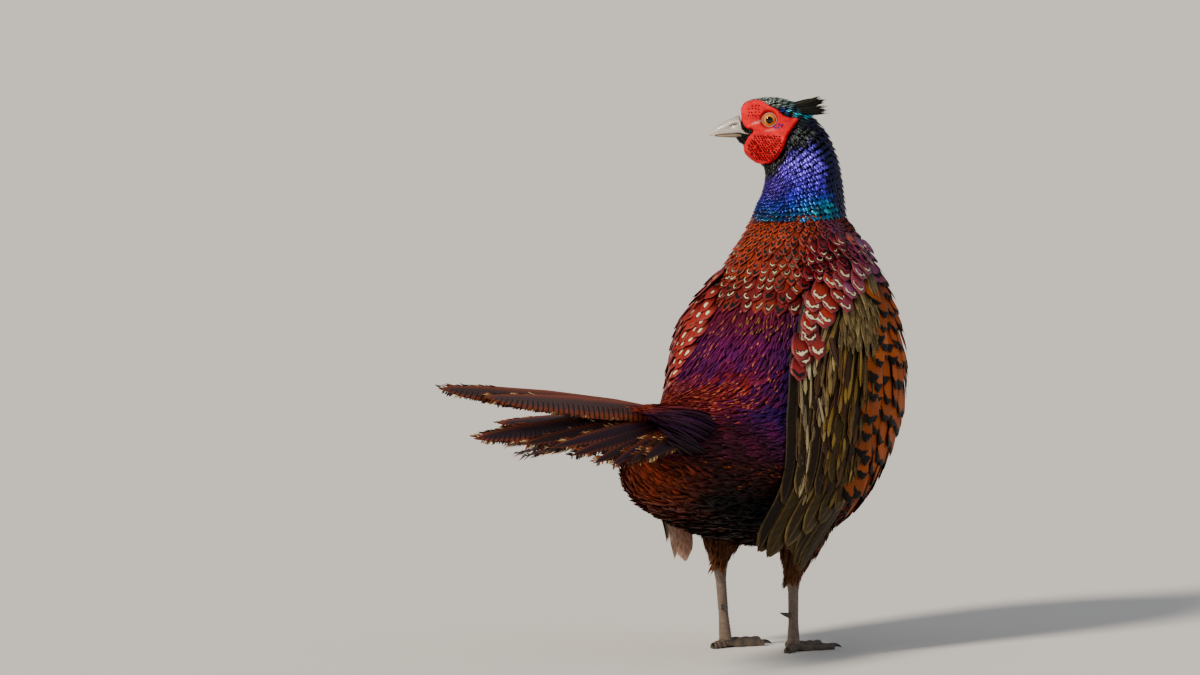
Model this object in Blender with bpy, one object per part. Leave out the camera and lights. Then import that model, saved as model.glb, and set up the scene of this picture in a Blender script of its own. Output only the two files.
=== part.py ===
"""Common pheasant cock, standing alert with its head turned over its left shoulder.

Lengths are in millimetres here and become metres in mesh_object. The bird faces +Y, its right side is
+X and it stands on z = 0. The head looks towards -X and a little back, so it has axes of its own.
"""

import math

import bmesh
import bpy
import numpy as np
from mathutils import Matrix, Vector

MILLIMETRE = 0.001
GAP = 0.3

# Driving sizes of the bird.
NECK_RADIUS = 38.5
EYE_RADIUS = 6.2
EYE_AT = (0.0, 12.6, 0.0)
LID_RADIUS = 6.1
LID_THICKNESS = 1.15
LID_REACH = 3.3
FEATHER_THICKNESS = 0.75
TARSUS_RADIUS = 4.3
FOOT_SPREAD = 32.0
TOE_RADIUS = 4.4
SPUR_LENGTH = 14.0
SPUR_AT = 0.60

# How finely the flesh is lofted: rings along it and points round it.
HEAD_MESH = (14, 26)
NECK_MESH = (9, 28)
TORSO_MESH = (23, 32)
BILL_MESH = (11, 16)
THIGH_MESH = (9, 20)
SHANK_MESH = (8, 12)

# The head's own axes: forward, left and up, from a point between the eyes.
HEAD_TURN = math.radians(120)
HEAD_AT = np.array([-18.0, 51.5, 433.0])
HEAD_FORWARD = np.array([-math.sin(HEAD_TURN), math.cos(HEAD_TURN), 0.0])
HEAD_LEFT = np.array([-math.cos(HEAD_TURN), -math.sin(HEAD_TURN), 0.0])
UP = np.array([0.0, 0.0, 1.0])

# Head and neck outline. Each row: crown or nape (forward, up), chin or throat (forward, up), half width.
HEAD_ROWS = np.array([
    [24.0, 4.0, 24.5, -16.5, 8.2],
    [22.6, 9.0, 22.0, -20.5, 10.8],
    [18.6, 13.9, 19.0, -25.0, 13.4],
    [10.4, 16.6, 15.0, -30.0, 15.6],
    [0.0, 17.9, 11.0, -34.0, 17.0],
    [-10.0, 17.2, 8.0, -36.5, 18.4],
    [-21.0, 13.8, 6.0, -38.5, 20.0],
    [-31.5, 7.0, 4.5, -40.5, 21.4],
    [-40.6, -2.5, 3.5, -43.0, 22.6],
])
NECK_ROWS = np.array([
    [-40.6, -2.5, 3.5, -43.0, 22.6],
    [-48.6, -13.0, 3.0, -47.0, 24.2],
    [-55.6, -28.0, 3.4, -53.5, 26.4],
    [-60.0, -46.0, 5.8, -62.0, 30.0],
    [-62.4, -65.0, 10.6, -72.0, 34.4],
    [-25.0 - NECK_RADIUS, -81.0, -25.0 + NECK_RADIUS, -81.0, NECK_RADIUS],
])
# Torso outline in the plane x = 0. Each row: back (y, z), breast or belly (y, z), half width.
NECK_BASE = HEAD_AT[2] - 81.0 - GAP
TORSO_ROWS = np.array([
    [64.0 - NECK_RADIUS, NECK_BASE, 64.0 + NECK_RADIUS, NECK_BASE, NECK_RADIUS],
    [20.0, 339.0, 117.0, 337.0, 46.0],
    [11.0, 322.0, 136.0, 317.0, 57.0],
    [1.0, 304.0, 151.0, 292.0, 68.0],
    [-10.0, 288.0, 159.0, 263.0, 78.0],
    [-22.0, 271.0, 163.0, 230.0, 85.0],
    [-36.0, 255.0, 161.0, 196.0, 88.0],
    [-50.0, 240.0, 150.0, 160.0, 88.0],
    [-66.0, 228.0, 128.0, 127.0, 85.0],
    [-84.0, 219.0, 95.0, 100.0, 80.0],
    [-102.0, 214.0, 48.0, 86.0, 74.0],
    [-118.0, 211.0, -10.0, 88.0, 67.0],
    [-131.0, 208.0, -66.0, 99.0, 59.0],
    [-142.0, 205.0, -114.0, 112.0, 50.0],
    [-153.0, 201.0, -156.0, 126.0, 39.0],
    [-164.0, 195.0, -186.0, 142.0, 27.0],
    [-174.0, 186.0, -198.0, 158.0, 14.0],
])
WIDEST_AT = 0.5
ROUNDNESS = 2.15

# Mandibles from the head to the tip. Each row: forward place, top, bottom and half width.
UPPER_BILL = [
    [18.0, 3.0, -11.4, 7.2],
    [24.0, 2.6, -11.5, 6.6],
    [30.0, 0.8, -11.7, 5.6],
    [36.0, -2.2, -12.1, 4.5],
    [41.5, -5.2, -12.6, 3.3],
    [45.5, -8.6, -13.2, 2.2],
    [49.0, -12.0, -14.4, 0.8],
]
LOWER_BILL = [
    [18.0, -12.0, -16.2, 6.2],
    [26.0, -12.1, -16.3, 5.4],
    [33.0, -12.5, -16.2, 4.3],
    [39.0, -13.0, -15.8, 3.1],
    [44.6, -13.7, -15.4, 1.4],
]
NOSTRIL = ((27.6, 7.6, -4.2, 1.0), (29.4, 5.2, -4.8, 0.9), (31.2, 3.6, -5.4, 0.5))

# The red face of one side, as (forward, up) round its rim.
WATTLE_OUTLINE = [
    (23.4, 2.0), (21.5, 9.5), (16.5, 14.4), (9.5, 15.6), (1.5, 12.4), (-6.6, 8.6), (-14.0, 4.4),
    (-22.0, 1.0), (-18.2, -5.4), (-14.4, -11.0), (-12.2, -18.0), (-8.8, -26.0), (-2.4, -33.0),
    (6.0, -36.4), (13.4, -33.4), (18.4, -26.6), (19.8, -18.6), (17.6, -12.4), (19.0, -6.6), (22.2, -2.6),
]
WATTLE_SWELL = {"all": 1.5, "cheek": 2.4, "brow": 1.2}

# Locks of an ear tuft: where they leave the crown and end, and how far both ends fan out (forward, left, up).
TUFT_LOCKS = 6
TUFT_ROOT = ((-16.0, 4.0, 11.6), (-5.0, 6.0, -3.4))
TUFT_TIP = ((-42.0, 8.0, 19.0), (-5.5, 6.0, -14.0))
TUFT_SAG = 5.0

# A drooped wing's sheet: rows from shoulder to tip, each front, middle and rear (x, y, z). The right wing hangs
# looser and further back.
RIGHT_WING = np.array([
    [[72, 62, 306], [62, 34, 315], [44, 6, 312]],
    [[91, 38, 256], [84, 2, 266], [54, -32, 268]],
    [[95, 18, 196], [90, -20, 204], [68, -56, 206]],
    [[89, 2, 138], [84, -34, 142], [71, -72, 144]],
    [[76, -46, 83], [72, -86, 81], [62, -122, 84]],
], dtype=float)
LEFT_WING = np.array([
    [[-64, 72, 299], [-57, 44, 302], [-42, 14, 300]],
    [[-83, 46, 250], [-79, 14, 258], [-58, -16, 262]],
    [[-88, 28, 196], [-84, -2, 204], [-66, -34, 206]],
    [[-82, 12, 136], [-77, -20, 140], [-66, -48, 142]],
    [[-61, -12, 80], [-62, -30, 70], [-56, -46, 90]],
], dtype=float)
WING_CORE_END = 0.52
WING_DEPTH = 18.0
SHOULDER_RISE = 5.0

# Tiers of a wing: number, first and last root and tip along the sheet, the same across it, half width, root
# depth, tip height, rows.
WING_TIERS = (
    ("primary", 6, (0.36, 0.40), (1.02, 0.92), (0.04, 0.36), (0.04, 0.62), 9.0, -5.0, -1.6, 6),
    ("secondary", 7, (0.34, 0.30), (0.84, 1.00), (0.18, 0.90), (0.22, 1.00), 10.5, -3.2, 1.4, 6),
    ("greater", 7, (0.22, 0.20), (0.58, 0.54), (0.08, 0.90), (0.07, 0.98), 10.0, -2.2, 3.2, 4),
    ("median", 6, (0.08, 0.05), (0.38, 0.34), (0.08, 0.90), (0.07, 0.95), 10.5, -2.2, 3.2, 4),
    ("lesser", 5, (-0.05, -0.08), (0.20, 0.17), (0.12, 0.86), (0.10, 0.88), 11.5, -2.2, 3.2, 4),
    ("scapular", 4, (0.12, 0.16), (0.34, 0.54), (0.58, 0.96), (0.58, 1.03), 9.5, -1.5, 6.6, 4),
)

# Tips of the tail feathers (x, y, z), from the middle pair out.
RIGHT_TAIL_TIPS = (
    (4.0, -448.0, 244.0),
    (14.0, -481.0, 214.0),
    (23.0, -423.0, 205.0),
    (31.0, -391.0, 200.0),
    (37.0, -369.0, 192.0),
    (42.0, -341.0, 184.0),
    (46.0, -318.0, 181.0),
    (48.0, -294.0, 180.0),
    (47.0, -268.0, 181.0),
)
LEFT_TAIL_TIPS = (
    (-5.0, -504.0, 255.0),
    (-14.0, -396.0, 218.0),
    (-24.0, -402.0, 209.0),
    (-32.0, -372.0, 202.0),
    (-38.0, -348.0, 195.0),
    (-43.0, -324.0, 186.0),
    (-46.0, -304.0, 182.0),
    (-48.0, -280.0, 182.0),
    (-47.0, -256.0, 182.0),
)
TAIL_ROOT = (0.0, -158.0, 208.0)
TAIL_HALF_WIDTH = 14.5
TAIL_CORE_AT = (0.0, -172.0, 195.0)
TAIL_CORE_HALF = (31.0, 48.0, 14.0)
TAIL_COVERTS = 5
COVERT_LENGTH = 66.0
COVERT_HALF_WIDTH = 6.5

# Toes of one foot: name, heading from straight ahead, length.
TOES = (("inner", -0.62, 34.0), ("middle", -0.06, 46.0), ("outer", 0.56, 37.0), ("hind", 2.95, 15.0))
SCUTES = 6
SCUTE_LENGTH = 9.4


def clear_scene():
    for item in list(bpy.data.objects):
        bpy.data.objects.remove(item)


def collection_named(name):
    made = bpy.data.collections.new(name)
    bpy.context.scene.collection.children.link(made)
    return made


def move_to(item, collection):
    for holder in list(item.users_collection):
        holder.objects.unlink(item)
    collection.objects.link(item)


def material_of(name, colour, roughness, metallic=0.0):
    made = bpy.data.materials.new(name)
    made.use_nodes = True
    shader = made.node_tree.nodes["Principled BSDF"]
    shader.inputs["Base Color"].default_value = (*colour, 1.0)
    shader.inputs["Roughness"].default_value = roughness
    shader.inputs["Metallic"].default_value = metallic
    return made


def mesh_object(name, points, faces, collection):
    """A mesh from points in millimetres, its faces turned outwards."""
    mesh = bpy.data.meshes.new(name)
    mesh.from_pydata((np.asarray(points) * MILLIMETRE).tolist(), [], faces)
    made = bpy.data.objects.new(name, mesh)
    collection.objects.link(made)
    turn_outwards(made)
    return made


def turn_outwards(item):
    edit = bmesh.new()
    edit.from_mesh(item.data)
    bmesh.ops.recalc_face_normals(edit, faces=edit.faces)
    edit.to_mesh(item.data)
    edit.free()


def rows_at(rows, places):
    """Catmull-Rom through the rows, read at places counted in rows."""
    rows = np.asarray(rows, float)
    padded = np.concatenate([[2 * rows[0] - rows[1]], rows, [2 * rows[-1] - rows[-2]]])
    first = np.minimum(places.astype(int), len(rows) - 2)
    t = (places - first).reshape((-1,) + (1,) * (rows.ndim - 1))
    before, start, end, after = (padded[first + k] for k in range(4))
    return 0.5 * (
        2 * start
        + (end - before) * t
        + (2 * before - 5 * start + 4 * end - after) * t**2
        + (3 * start - before - 3 * end + after) * t**3
    )


def smooth_rows(rows, count):
    return rows_at(rows, np.linspace(0, len(rows) - 1, count))


def rings_through(backs, fronts, side, half_widths, around):
    """Oval rings whose top and bottom lie on two outlines. side is the direction of their width."""
    angle = np.linspace(0, 2 * math.pi, around, endpoint=False)
    lift = np.sign(np.cos(angle)) * np.abs(np.cos(angle)) ** (2 / ROUNDNESS)
    reach = np.sign(np.sin(angle)) * np.abs(np.sin(angle)) ** (2 / ROUNDNESS)
    centres = backs + WIDEST_AT * (fronts - backs)
    rings = []
    for centre, back, front, half in zip(centres, backs, fronts, half_widths):
        depth = np.where(lift[:, None] > 0, back - centre, centre - front)
        rings.append(centre + depth * lift[:, None] + half * reach[:, None] * side)
    return np.array(rings)


def lofted(name, rings, collection):
    """A closed skin over rings of equally many points, capped flat at both ends."""
    count, around = rings.shape[:2]
    faces = []
    for ring in range(count - 1):
        for step in range(around):
            after = (step + 1) % around
            low, high = ring * around, (ring + 1) * around
            faces.append((low + step, low + after, high + after, high + step))
    faces.append(tuple(range(around)))
    faces.append(tuple((count - 1) * around + step for step in range(around)))
    return mesh_object(name, rings.reshape(-1, 3), faces, collection)


def head_point(forward, left, up):
    return HEAD_AT + forward * HEAD_FORWARD + left * HEAD_LEFT + up * UP


def head_outline(rows, column):
    return np.array([head_point(row[column], 0.0, row[column + 1]) for row in rows])


def torso_outline(rows, column):
    return np.array([[0.0, row[column], row[column + 1]] for row in rows])


def baked(item):
    """Applies the modifiers of an object."""
    graph = bpy.context.evaluated_depsgraph_get()
    mesh = bpy.data.meshes.new_from_object(item.evaluated_get(graph))
    item.modifiers.clear()
    item.data = mesh


def removed(item):
    bpy.data.objects.remove(item)


def box_size(verts):
    places = np.array([vert.co for vert in verts])
    return float(np.ptp(places, axis=0).sum())


def keep_largest(item):
    """Drops all but the largest closed surface."""
    edit = bmesh.new()
    edit.from_mesh(item.data)
    left = set(edit.verts)
    islands = []
    while left:
        seed = left.pop()
        found = {seed}
        edge = [seed]
        while edge:
            vert = edge.pop()
            for link in vert.link_edges:
                other = link.other_vert(vert)
                if other in left:
                    left.discard(other)
                    found.add(other)
                    edge.append(other)
        islands.append(found)
    islands.sort(key=box_size)
    for island in islands[:-1]:
        bmesh.ops.delete(edit, geom=list(island), context="VERTS")
    edit.to_mesh(item.data)
    edit.free()


def boolean(item, operation, other=None, group=None, solver="EXACT"):
    modifier = item.modifiers.new(operation.lower(), "BOOLEAN")
    modifier.operation = operation
    modifier.solver = solver
    if group:
        modifier.operand_type = "COLLECTION"
        modifier.collection = group
    else:
        modifier.object = other
    baked(item)


def joined(name, pieces, collection):
    """One closed body from overlapping closed pieces."""
    base = pieces[0]
    group = collection_named(name + "_pieces")
    for piece in pieces[1:]:
        move_to(piece, group)
    boolean(base, "UNION", group=group, solver="MANIFOLD")
    for piece in pieces[1:]:
        removed(piece)
    bpy.data.collections.remove(group)
    keep_largest(base)
    base.name = name
    return base


def grown(item, gap, helpers):
    """A copy whose surface lies further out by gap, which is in millimetres or a function of the place."""
    copy = bpy.data.objects.new(item.name + "_grown", item.data.copy())
    helpers.objects.link(copy)
    for vert in copy.data.vertices:
        reach = gap(np.array(vert.co) / MILLIMETRE) if callable(gap) else gap
        vert.co += vert.normal * (reach * MILLIMETRE)
    return copy


def cut_clear(item, neighbours, helpers, gap=GAP):
    """Cuts an object back from its neighbours, which stay whole."""
    for neighbour in neighbours:
        cutter = grown(neighbour, gap, helpers)
        boolean(item, "DIFFERENCE", other=cutter)
        removed(cutter)
    keep_largest(item)
    return item


def vane(name, line, across, normal, half_widths, collection, thickness=0.7, camber=0.0, tilt=0.0, ribbed=False):
    """A closed thin feather along a line, tilted like a shingle. Both faces are split into triangles alike."""
    line, across, normal = (np.asarray(part, float) for part in (line, across, normal))
    half = np.asarray(half_widths, float)[:, None]
    edge_down = camber * half
    thin = thickness * 0.5
    left = line - across * half - normal * (edge_down - tilt * half)
    right = line + across * half - normal * (edge_down + tilt * half)
    columns = [left, line, right] if ribbed else [left, right]
    up = [0.5, 0.8, 0.5] if ribbed else [0.5, 0.5]
    rows = np.stack(
        [column + normal * thickness * rise for column, rise in zip(columns, up)]
        + [column - normal * thin for column in columns],
        axis=1,
    )
    wide = len(columns)
    faces = []
    for row in range(len(line) - 1):
        a, b = row * 2 * wide, (row + 1) * 2 * wide
        for first in range(wide - 1):
            second, low, high = first + 1, first + wide, first + 1 + wide
            faces += [(a + first, a + second, b + second), (a + first, b + second, b + first)]
            faces += [(a + low, b + high, a + high), (a + low, b + low, b + high)]
        last = wide - 1
        faces += [(a, b, b + wide), (a, b + wide, a + wide)]
        faces += [(a + last, b + last + wide, b + last), (a + last, a + last + wide, b + last + wide)]
    for row in (0, len(line) - 1):
        a = row * 2 * wide
        for first in range(wide - 1):
            corner, across_corner = a + first, a + first + wide + 1
            faces += [(corner, corner + wide, across_corner), (corner, across_corner, corner + 1)]
    return mesh_object(name, rows.reshape(-1, 3), faces, collection)


def unit(vector):
    vector = np.asarray(vector, float)
    return vector / np.linalg.norm(vector, axis=-1, keepdims=True)


def tapered_tube(name, line, radii, collection, around=10, floor=None):
    """A round tube along a line; what would pass below the floor is flattened onto it."""
    line = np.asarray(line, float)
    tangent = unit(np.gradient(line, axis=0))
    crossing = np.eye(3)[np.argmin(np.abs(line[-1] - line[0]))]
    side = unit(np.cross(tangent, crossing))
    lift = np.cross(side, tangent)
    angle = np.linspace(0, 2 * math.pi, around, endpoint=False)
    rings = np.array([
        centre + radius * (np.cos(angle)[:, None] * up + np.sin(angle)[:, None] * right)
        for centre, radius, up, right in zip(line, radii, lift, side)
    ])
    if floor is not None:
        rings[..., 2] = np.maximum(rings[..., 2], floor)
    return lofted(name, rings, collection)


def make_head(parts):
    rings, around = HEAD_MESH
    rows = smooth_rows(HEAD_ROWS, rings)
    crowns, chins = head_outline(rows, 0), head_outline(rows, 2)
    return lofted("head", rings_through(crowns, chins, HEAD_LEFT, rows[:, 4], around), parts)


def make_neck(parts):
    rings, around = NECK_MESH
    rows = smooth_rows(NECK_ROWS, rings)
    backs, throats = head_outline(rows, 0), head_outline(rows, 2)
    away = unit(np.cross(throats[0] - backs[0], HEAD_LEFT))
    away = away if away[2] < 0 else -away
    backs[0] += away * GAP
    throats[0] += away * GAP
    return lofted("neck", rings_through(backs, throats, HEAD_LEFT, rows[:, 4], around), parts)


def make_torso(parts):
    rings, around = TORSO_MESH
    rows = smooth_rows(TORSO_ROWS, rings)
    side = np.array([1.0, 0.0, 0.0])
    backs, bellies = torso_outline(rows, 0), torso_outline(rows, 2)
    return lofted("torso", rings_through(backs, bellies, side, rows[:, 4], around), parts)


def lid_ring(side, parts):
    """A torus round the eye, for its two lids."""
    bpy.ops.mesh.primitive_torus_add(
        major_segments=20, minor_segments=8,
        major_radius=LID_RADIUS * MILLIMETRE, minor_radius=LID_THICKNESS * MILLIMETRE,
    )
    ring = bpy.context.object
    facing = Vector(HEAD_LEFT * side + HEAD_FORWARD * 0.12)
    centre = Vector(head_point(EYE_AT[0], side * (EYE_AT[1] + LID_REACH), EYE_AT[2])) * MILLIMETRE
    place = Matrix.Translation(centre) @ facing.to_track_quat("Z", "Y").to_matrix().to_4x4()
    ring.data.transform(place)
    move_to(ring, parts)
    return ring


def make_eye(name, side, parts):
    bpy.ops.mesh.primitive_uv_sphere_add(segments=16, ring_count=10, radius=EYE_RADIUS * MILLIMETRE)
    eye = bpy.context.object
    eye.name = name
    facing = Vector(HEAD_LEFT * side).to_track_quat("Z", "Y").to_matrix().to_4x4()
    centre = Vector(head_point(EYE_AT[0], side * EYE_AT[1], EYE_AT[2])) * MILLIMETRE
    eye.data.transform(Matrix.Translation(centre) @ facing)
    move_to(eye, parts)
    return eye


def bill_half(name, stations, top_share, parts):
    """One mandible: rings along the bill, whose widest line lies at top_share of the height below the top."""
    count, around = BILL_MESH
    rows = smooth_rows(stations, count)
    angle = np.linspace(0, 2 * math.pi, around, endpoint=False)
    rings = []
    for forward, top, bottom, half in rows:
        height = top - bottom
        middle = bottom + height * (1 - top_share)
        lift = np.where(np.cos(angle) > 0, top - middle, middle - bottom) * np.cos(angle)
        rings.append([head_point(forward, half * math.sin(a), middle + z) for a, z in zip(angle, lift)])
    return lofted(name, np.array(rings), parts)


def make_bill(parts, head, helpers):
    upper = bill_half("bill_upper", UPPER_BILL, 0.86, parts)
    lower = bill_half("bill_lower", LOWER_BILL, 0.22, parts)
    for side in (-1, 1):
        line = [head_point(forward, side * left, up) for forward, left, up, _ in NOSTRIL]
        cutter = tapered_tube("nostril", line, [place[3] for place in NOSTRIL], helpers, around=8)
        boolean(upper, "DIFFERENCE", other=cutter)
        removed(cutter)
    cut_clear(upper, [head], helpers)
    cut_clear(lower, [head, upper], helpers)
    return [upper, lower]


def wattle_swell(place):
    """How far the red skin stands off the head: more on the hanging cheek lobe and the brow."""
    local = place - HEAD_AT
    up = float(local @ UP)
    cheek = math.exp(-(((up + 22.0) / 11.0) ** 2))
    brow = math.exp(-(((up - 8.0) / 7.0) ** 2))
    return WATTLE_SWELL["all"] + WATTLE_SWELL["cheek"] * cheek + WATTLE_SWELL["brow"] * brow


def make_wattle(name, side, head, lids, parts, helpers):
    """A raised patch of bare skin that follows the head's own surface."""
    patch = grown(head, wattle_swell, parts)
    patch.name = name
    rim = smooth_rows(WATTLE_OUTLINE + WATTLE_OUTLINE[:1], 41)[:-1]
    prism_rings = np.array([
        [head_point(forward, side * reach, up) for forward, up in rim] for reach in (1.2, 60.0)
    ])
    prism = lofted("prism", prism_rings, helpers)
    boolean(patch, "INTERSECT", other=prism)
    removed(prism)
    cut_clear(patch, [head] + lids, helpers)
    return patch


def make_ear_tuft(name, side, head, parts, helpers):
    """Short pointed locks fanned from behind the crown."""
    locks = []
    for place in range(TUFT_LOCKS):
        share = place / (TUFT_LOCKS - 1)
        root, tip = (
            head_point(first[0] + more[0] * share, side * (first[1] + more[1] * share), first[2] + more[2] * share)
            for first, more in (TUFT_ROOT, TUFT_TIP)
        )
        steps = np.linspace(0, 1, 5)[:, None]
        bend = (steps * (1 - steps)) * UP * -TUFT_SAG
        line = root + (tip - root) * steps + bend
        along = unit(np.gradient(line, axis=0))
        normal = unit(np.cross(along, HEAD_LEFT) * -1 + HEAD_LEFT * side * 0.8)
        across = unit(np.cross(along, normal))
        normal = np.cross(across, along)
        widths = np.array([1.6, 2.6, 2.9, 2.2, 0.5])
        locks.append(vane(f"{name}_{place}", line, across, normal, widths, parts, thickness=1.5))
    tuft = joined(name, locks, parts)
    return cut_clear(tuft, [head], helpers)


def wing_sheet(along, across, side):
    """The wing's sheet at one place: point and outward normal. It runs on straight past its edges."""
    rows = RIGHT_WING if side > 0 else LEFT_WING

    def at(t, b):
        inside = np.clip(t, 0, 1)
        row = rows_at(rows, np.array([inside * (len(rows) - 1)]))[0]
        row = row + (t - inside) * (len(rows) - 1) * (rows[-1] - rows[-2] if t > 1 else rows[1] - rows[0])
        front, middle, rear = row
        return front * (1 - b) * (1 - 2 * b) + middle * 4 * b * (1 - b) + rear * b * (2 * b - 1)

    step = 0.02
    point = at(along, across)
    run = at(along + step, across) - at(along - step, across)
    width = at(along, across + step) - at(along, across - step)
    normal = unit(np.cross(run, width))
    if normal[0] * side < 0:
        normal = -normal
    return point, normal


def shoulder_height(along):
    """How thick the wing's flesh and inner coverts stand over the sheet."""
    share = min(max(along / 0.5, 0.0), 1.0)
    return SHOULDER_RISE * (1 - share * share * (3 - 2 * share)) + 0.6


def wing_core(name, side, parts):
    """The closed body of the wing under its feathers."""
    alongs = np.linspace(-0.02, WING_CORE_END, 9)
    acrosses = np.linspace(0.03, 0.97, 7)
    outer, inner = [], []
    for t in alongs:
        for b in acrosses:
            point, normal = wing_sheet(t, b, side)
            edge = 1 - (2 * b - 1) ** 4
            outer.append(point + normal * shoulder_height(t) * edge)
            inner.append(point - normal * WING_DEPTH)
    rows, columns = len(alongs), len(acrosses)
    points = np.array(outer + inner)
    below = rows * columns
    faces = []
    for i in range(rows - 1):
        for j in range(columns - 1):
            a, b = i * columns + j, i * columns + j + 1
            c, d = b + columns, a + columns
            faces += [(a, b, c), (a, c, d), (a + below, c + below, b + below), (a + below, d + below, c + below)]
    rim = list(range(columns))
    rim += [i * columns + columns - 1 for i in range(1, rows)]
    rim += [(rows - 1) * columns + j for j in range(columns - 2, -1, -1)]
    rim += [i * columns for i in range(rows - 2, 0, -1)]
    for first, second in zip(rim, rim[1:] + rim[:1]):
        faces += [(first, second + below, second), (first, first + below, second + below)]
    return mesh_object(name, points, faces, parts)


def wing_feather(name, side, root, tip, half, depths, rows, parts):
    """One vane over the sheet, from a root sunk in the wing to a free rounded tip."""
    steps = np.linspace(0, 1, rows)
    line, normals = [], []
    for share in steps:
        t = root[0] + (tip[0] - root[0]) * share
        b = root[1] + (tip[1] - root[1]) * share
        point, normal = wing_sheet(t, b, side)
        height = shoulder_height(t) + depths[0] + (depths[1] - depths[0]) * share**0.8
        line.append(point + normal * height)
        normals.append(normal)
    line, normals = np.array(line), np.array(normals)
    along = unit(np.gradient(line, axis=0))
    across = unit(np.cross(along, normals))
    normals = np.cross(across, along)
    profile = np.interp(steps, [0, 0.25, 0.6, 0.86, 1.0], [0.45, 0.85, 1.0, 0.82, 0.22])
    half = half if side > 0 else half * 0.82
    return vane(
        name, line, across, normals, half * profile, parts,
        thickness=FEATHER_THICKNESS, camber=0.03, tilt=0.11 * side, ribbed=rows > 4,
    )


def make_wing(name, side, torso, parts, helpers):
    pieces = [wing_core(name, side, parts)]
    for tier, count, root_along, tip_along, root_across, tip_across, half, depth, height, rows in WING_TIERS:
        for place in range(count):
            share = place / (count - 1)
            ripple = 0.012 * math.sin(place * 2.3 + len(tier) + side)
            root = (np.interp(share, [0, 1], root_along), np.interp(share, [0, 1], root_across))
            tip = (np.interp(share, [0, 1], tip_along) + ripple, np.interp(share, [0, 1], tip_across))
            pieces.append(
                wing_feather(f"{name}_{tier}_{place}", side, root, tip, half, (depth, height), rows, parts)
            )
    wing = joined(name, pieces, parts)
    return cut_clear(wing, [torso], helpers)


def tail_core(parts):
    bpy.ops.mesh.primitive_uv_sphere_add(segments=20, ring_count=12, radius=1.0)
    core = bpy.context.object
    core.name = "tail"
    place = Matrix.Translation(Vector(TAIL_CORE_AT) * MILLIMETRE)
    size = Matrix.Diagonal(Vector(TAIL_CORE_HALF) * MILLIMETRE).to_4x4()
    core.data.transform(place @ size)
    move_to(core, parts)
    return core


def tail_feather(name, side, place, tip, parts):
    """A long pointed rectrix. The outer ones start lower and bank down like a roof."""
    share = place / (len(RIGHT_TAIL_TIPS) - 1)
    root = np.array([side * (4.0 + 22.0 * share), TAIL_ROOT[1], TAIL_ROOT[2] + 1.0 - 20.0 * share**1.2])
    tip = np.array(tip)
    large = place < 4
    steps = np.linspace(0, 1, 7 if large else 5)
    sag = np.array([0.0, 0.0, 3.0 * share])
    line = root + (tip - root) * steps[:, None] + sag * (4 * steps * (1 - steps))[:, None]
    bank = math.radians(30.0 + 26.0 * share)
    along = unit(np.gradient(line, axis=0))
    normal = np.array([side * math.sin(bank), 0.0, math.cos(bank)])
    across = unit(np.cross(along, normal))
    normals = np.cross(across, along)
    profile = np.interp(steps, [0, 0.15, 0.45, 0.75, 0.93, 1.0], [0.5, 0.85, 1.0, 0.78, 0.36, 0.08])
    half = TAIL_HALF_WIDTH * (1.0 - 0.25 * share)
    return vane(name, line, across, normals, half * profile, parts, thickness=0.8, camber=0.14, ribbed=large)


def tail_covert(name, side, place, parts):
    """A narrow drooping covert over the tail's root."""
    share = place / (TAIL_COVERTS - 1)
    angle = math.radians(-8.0 + 74.0 * share)
    out = np.array([side * math.sin(angle), 0.0, math.cos(angle)])
    centre = np.array([0.0, -146.0, 184.0])
    root = centre + out * np.array([25.8, 1.0, 20.0])
    length = COVERT_LENGTH - 14.0 * share
    steps = np.linspace(0, 1, 5)
    line = root + np.array([side * 5.0 * share, -length, 4.0 - 12.0 * share]) * steps[:, None]
    line = line + out * (3.6 * np.sin(math.pi * np.minimum(steps * 1.3, 1.0)))[:, None]
    along = unit(np.gradient(line, axis=0))
    across = unit(np.cross(along, out))
    normals = np.cross(across, along)
    widths = COVERT_HALF_WIDTH * np.interp(steps, [0, 0.4, 0.8, 1.0], [0.6, 1.0, 0.75, 0.15])
    return vane(name, line, across, normals, widths, parts, thickness=0.8, camber=0.2)


def make_tail(torso, parts, helpers):
    pieces = [tail_core(parts)]
    for side in (-1, 1):
        for place, tip in enumerate(RIGHT_TAIL_TIPS if side > 0 else LEFT_TAIL_TIPS):
            pieces.append(tail_feather(f"rectrix_{side}_{place}", side, place, tip, parts))
        for place in range(TAIL_COVERTS):
            pieces.append(tail_covert(f"covert_{side}_{place}", side, place, parts))
    tail = joined("tail", pieces, parts)
    return cut_clear(tail, [torso], helpers)


def leg_points(side):
    """Hip, hock and foot of one leg."""
    hip = np.array([side * 38.0, 12.0, 128.0])
    hock = np.array([side * 31.0, -8.0, 73.0]) if side < 0 else np.array([side * 35.0, -2.0, 64.0])
    foot = np.array([side * FOOT_SPREAD, 4.0, 7.0])
    return hip, hock, foot


def make_thigh(name, side, torso, parts, helpers):
    """The feathered drumstick, from inside the belly down to the hock, where the bare shank enters it."""
    hip, hock, foot = leg_points(side)
    rings, around = THIGH_MESH
    steps = np.linspace(0, 1, rings)
    line = hip + (hock + np.array([0.0, -1.0, -1.0]) - hip) * steps[:, None]
    line[:, 1] += 6.0 * np.sin(math.pi * steps)
    radii = np.interp(steps, [0, 0.3, 0.6, 0.85, 1.0], [27.0, 25.0, 19.0, 11.0, 6.0])
    thigh = tapered_tube(name, line, radii, parts, around=around)
    socket_line = shank_line(hock, foot)
    socket = tapered_tube("socket", socket_line, shank_radii(len(socket_line)) + GAP, helpers, around=14)
    socket.data.transform(Matrix.Translation((0.0, 0.0, GAP * MILLIMETRE)))
    boolean(thigh, "DIFFERENCE", other=socket)
    removed(socket)
    return cut_clear(thigh, [torso], helpers)


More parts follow.
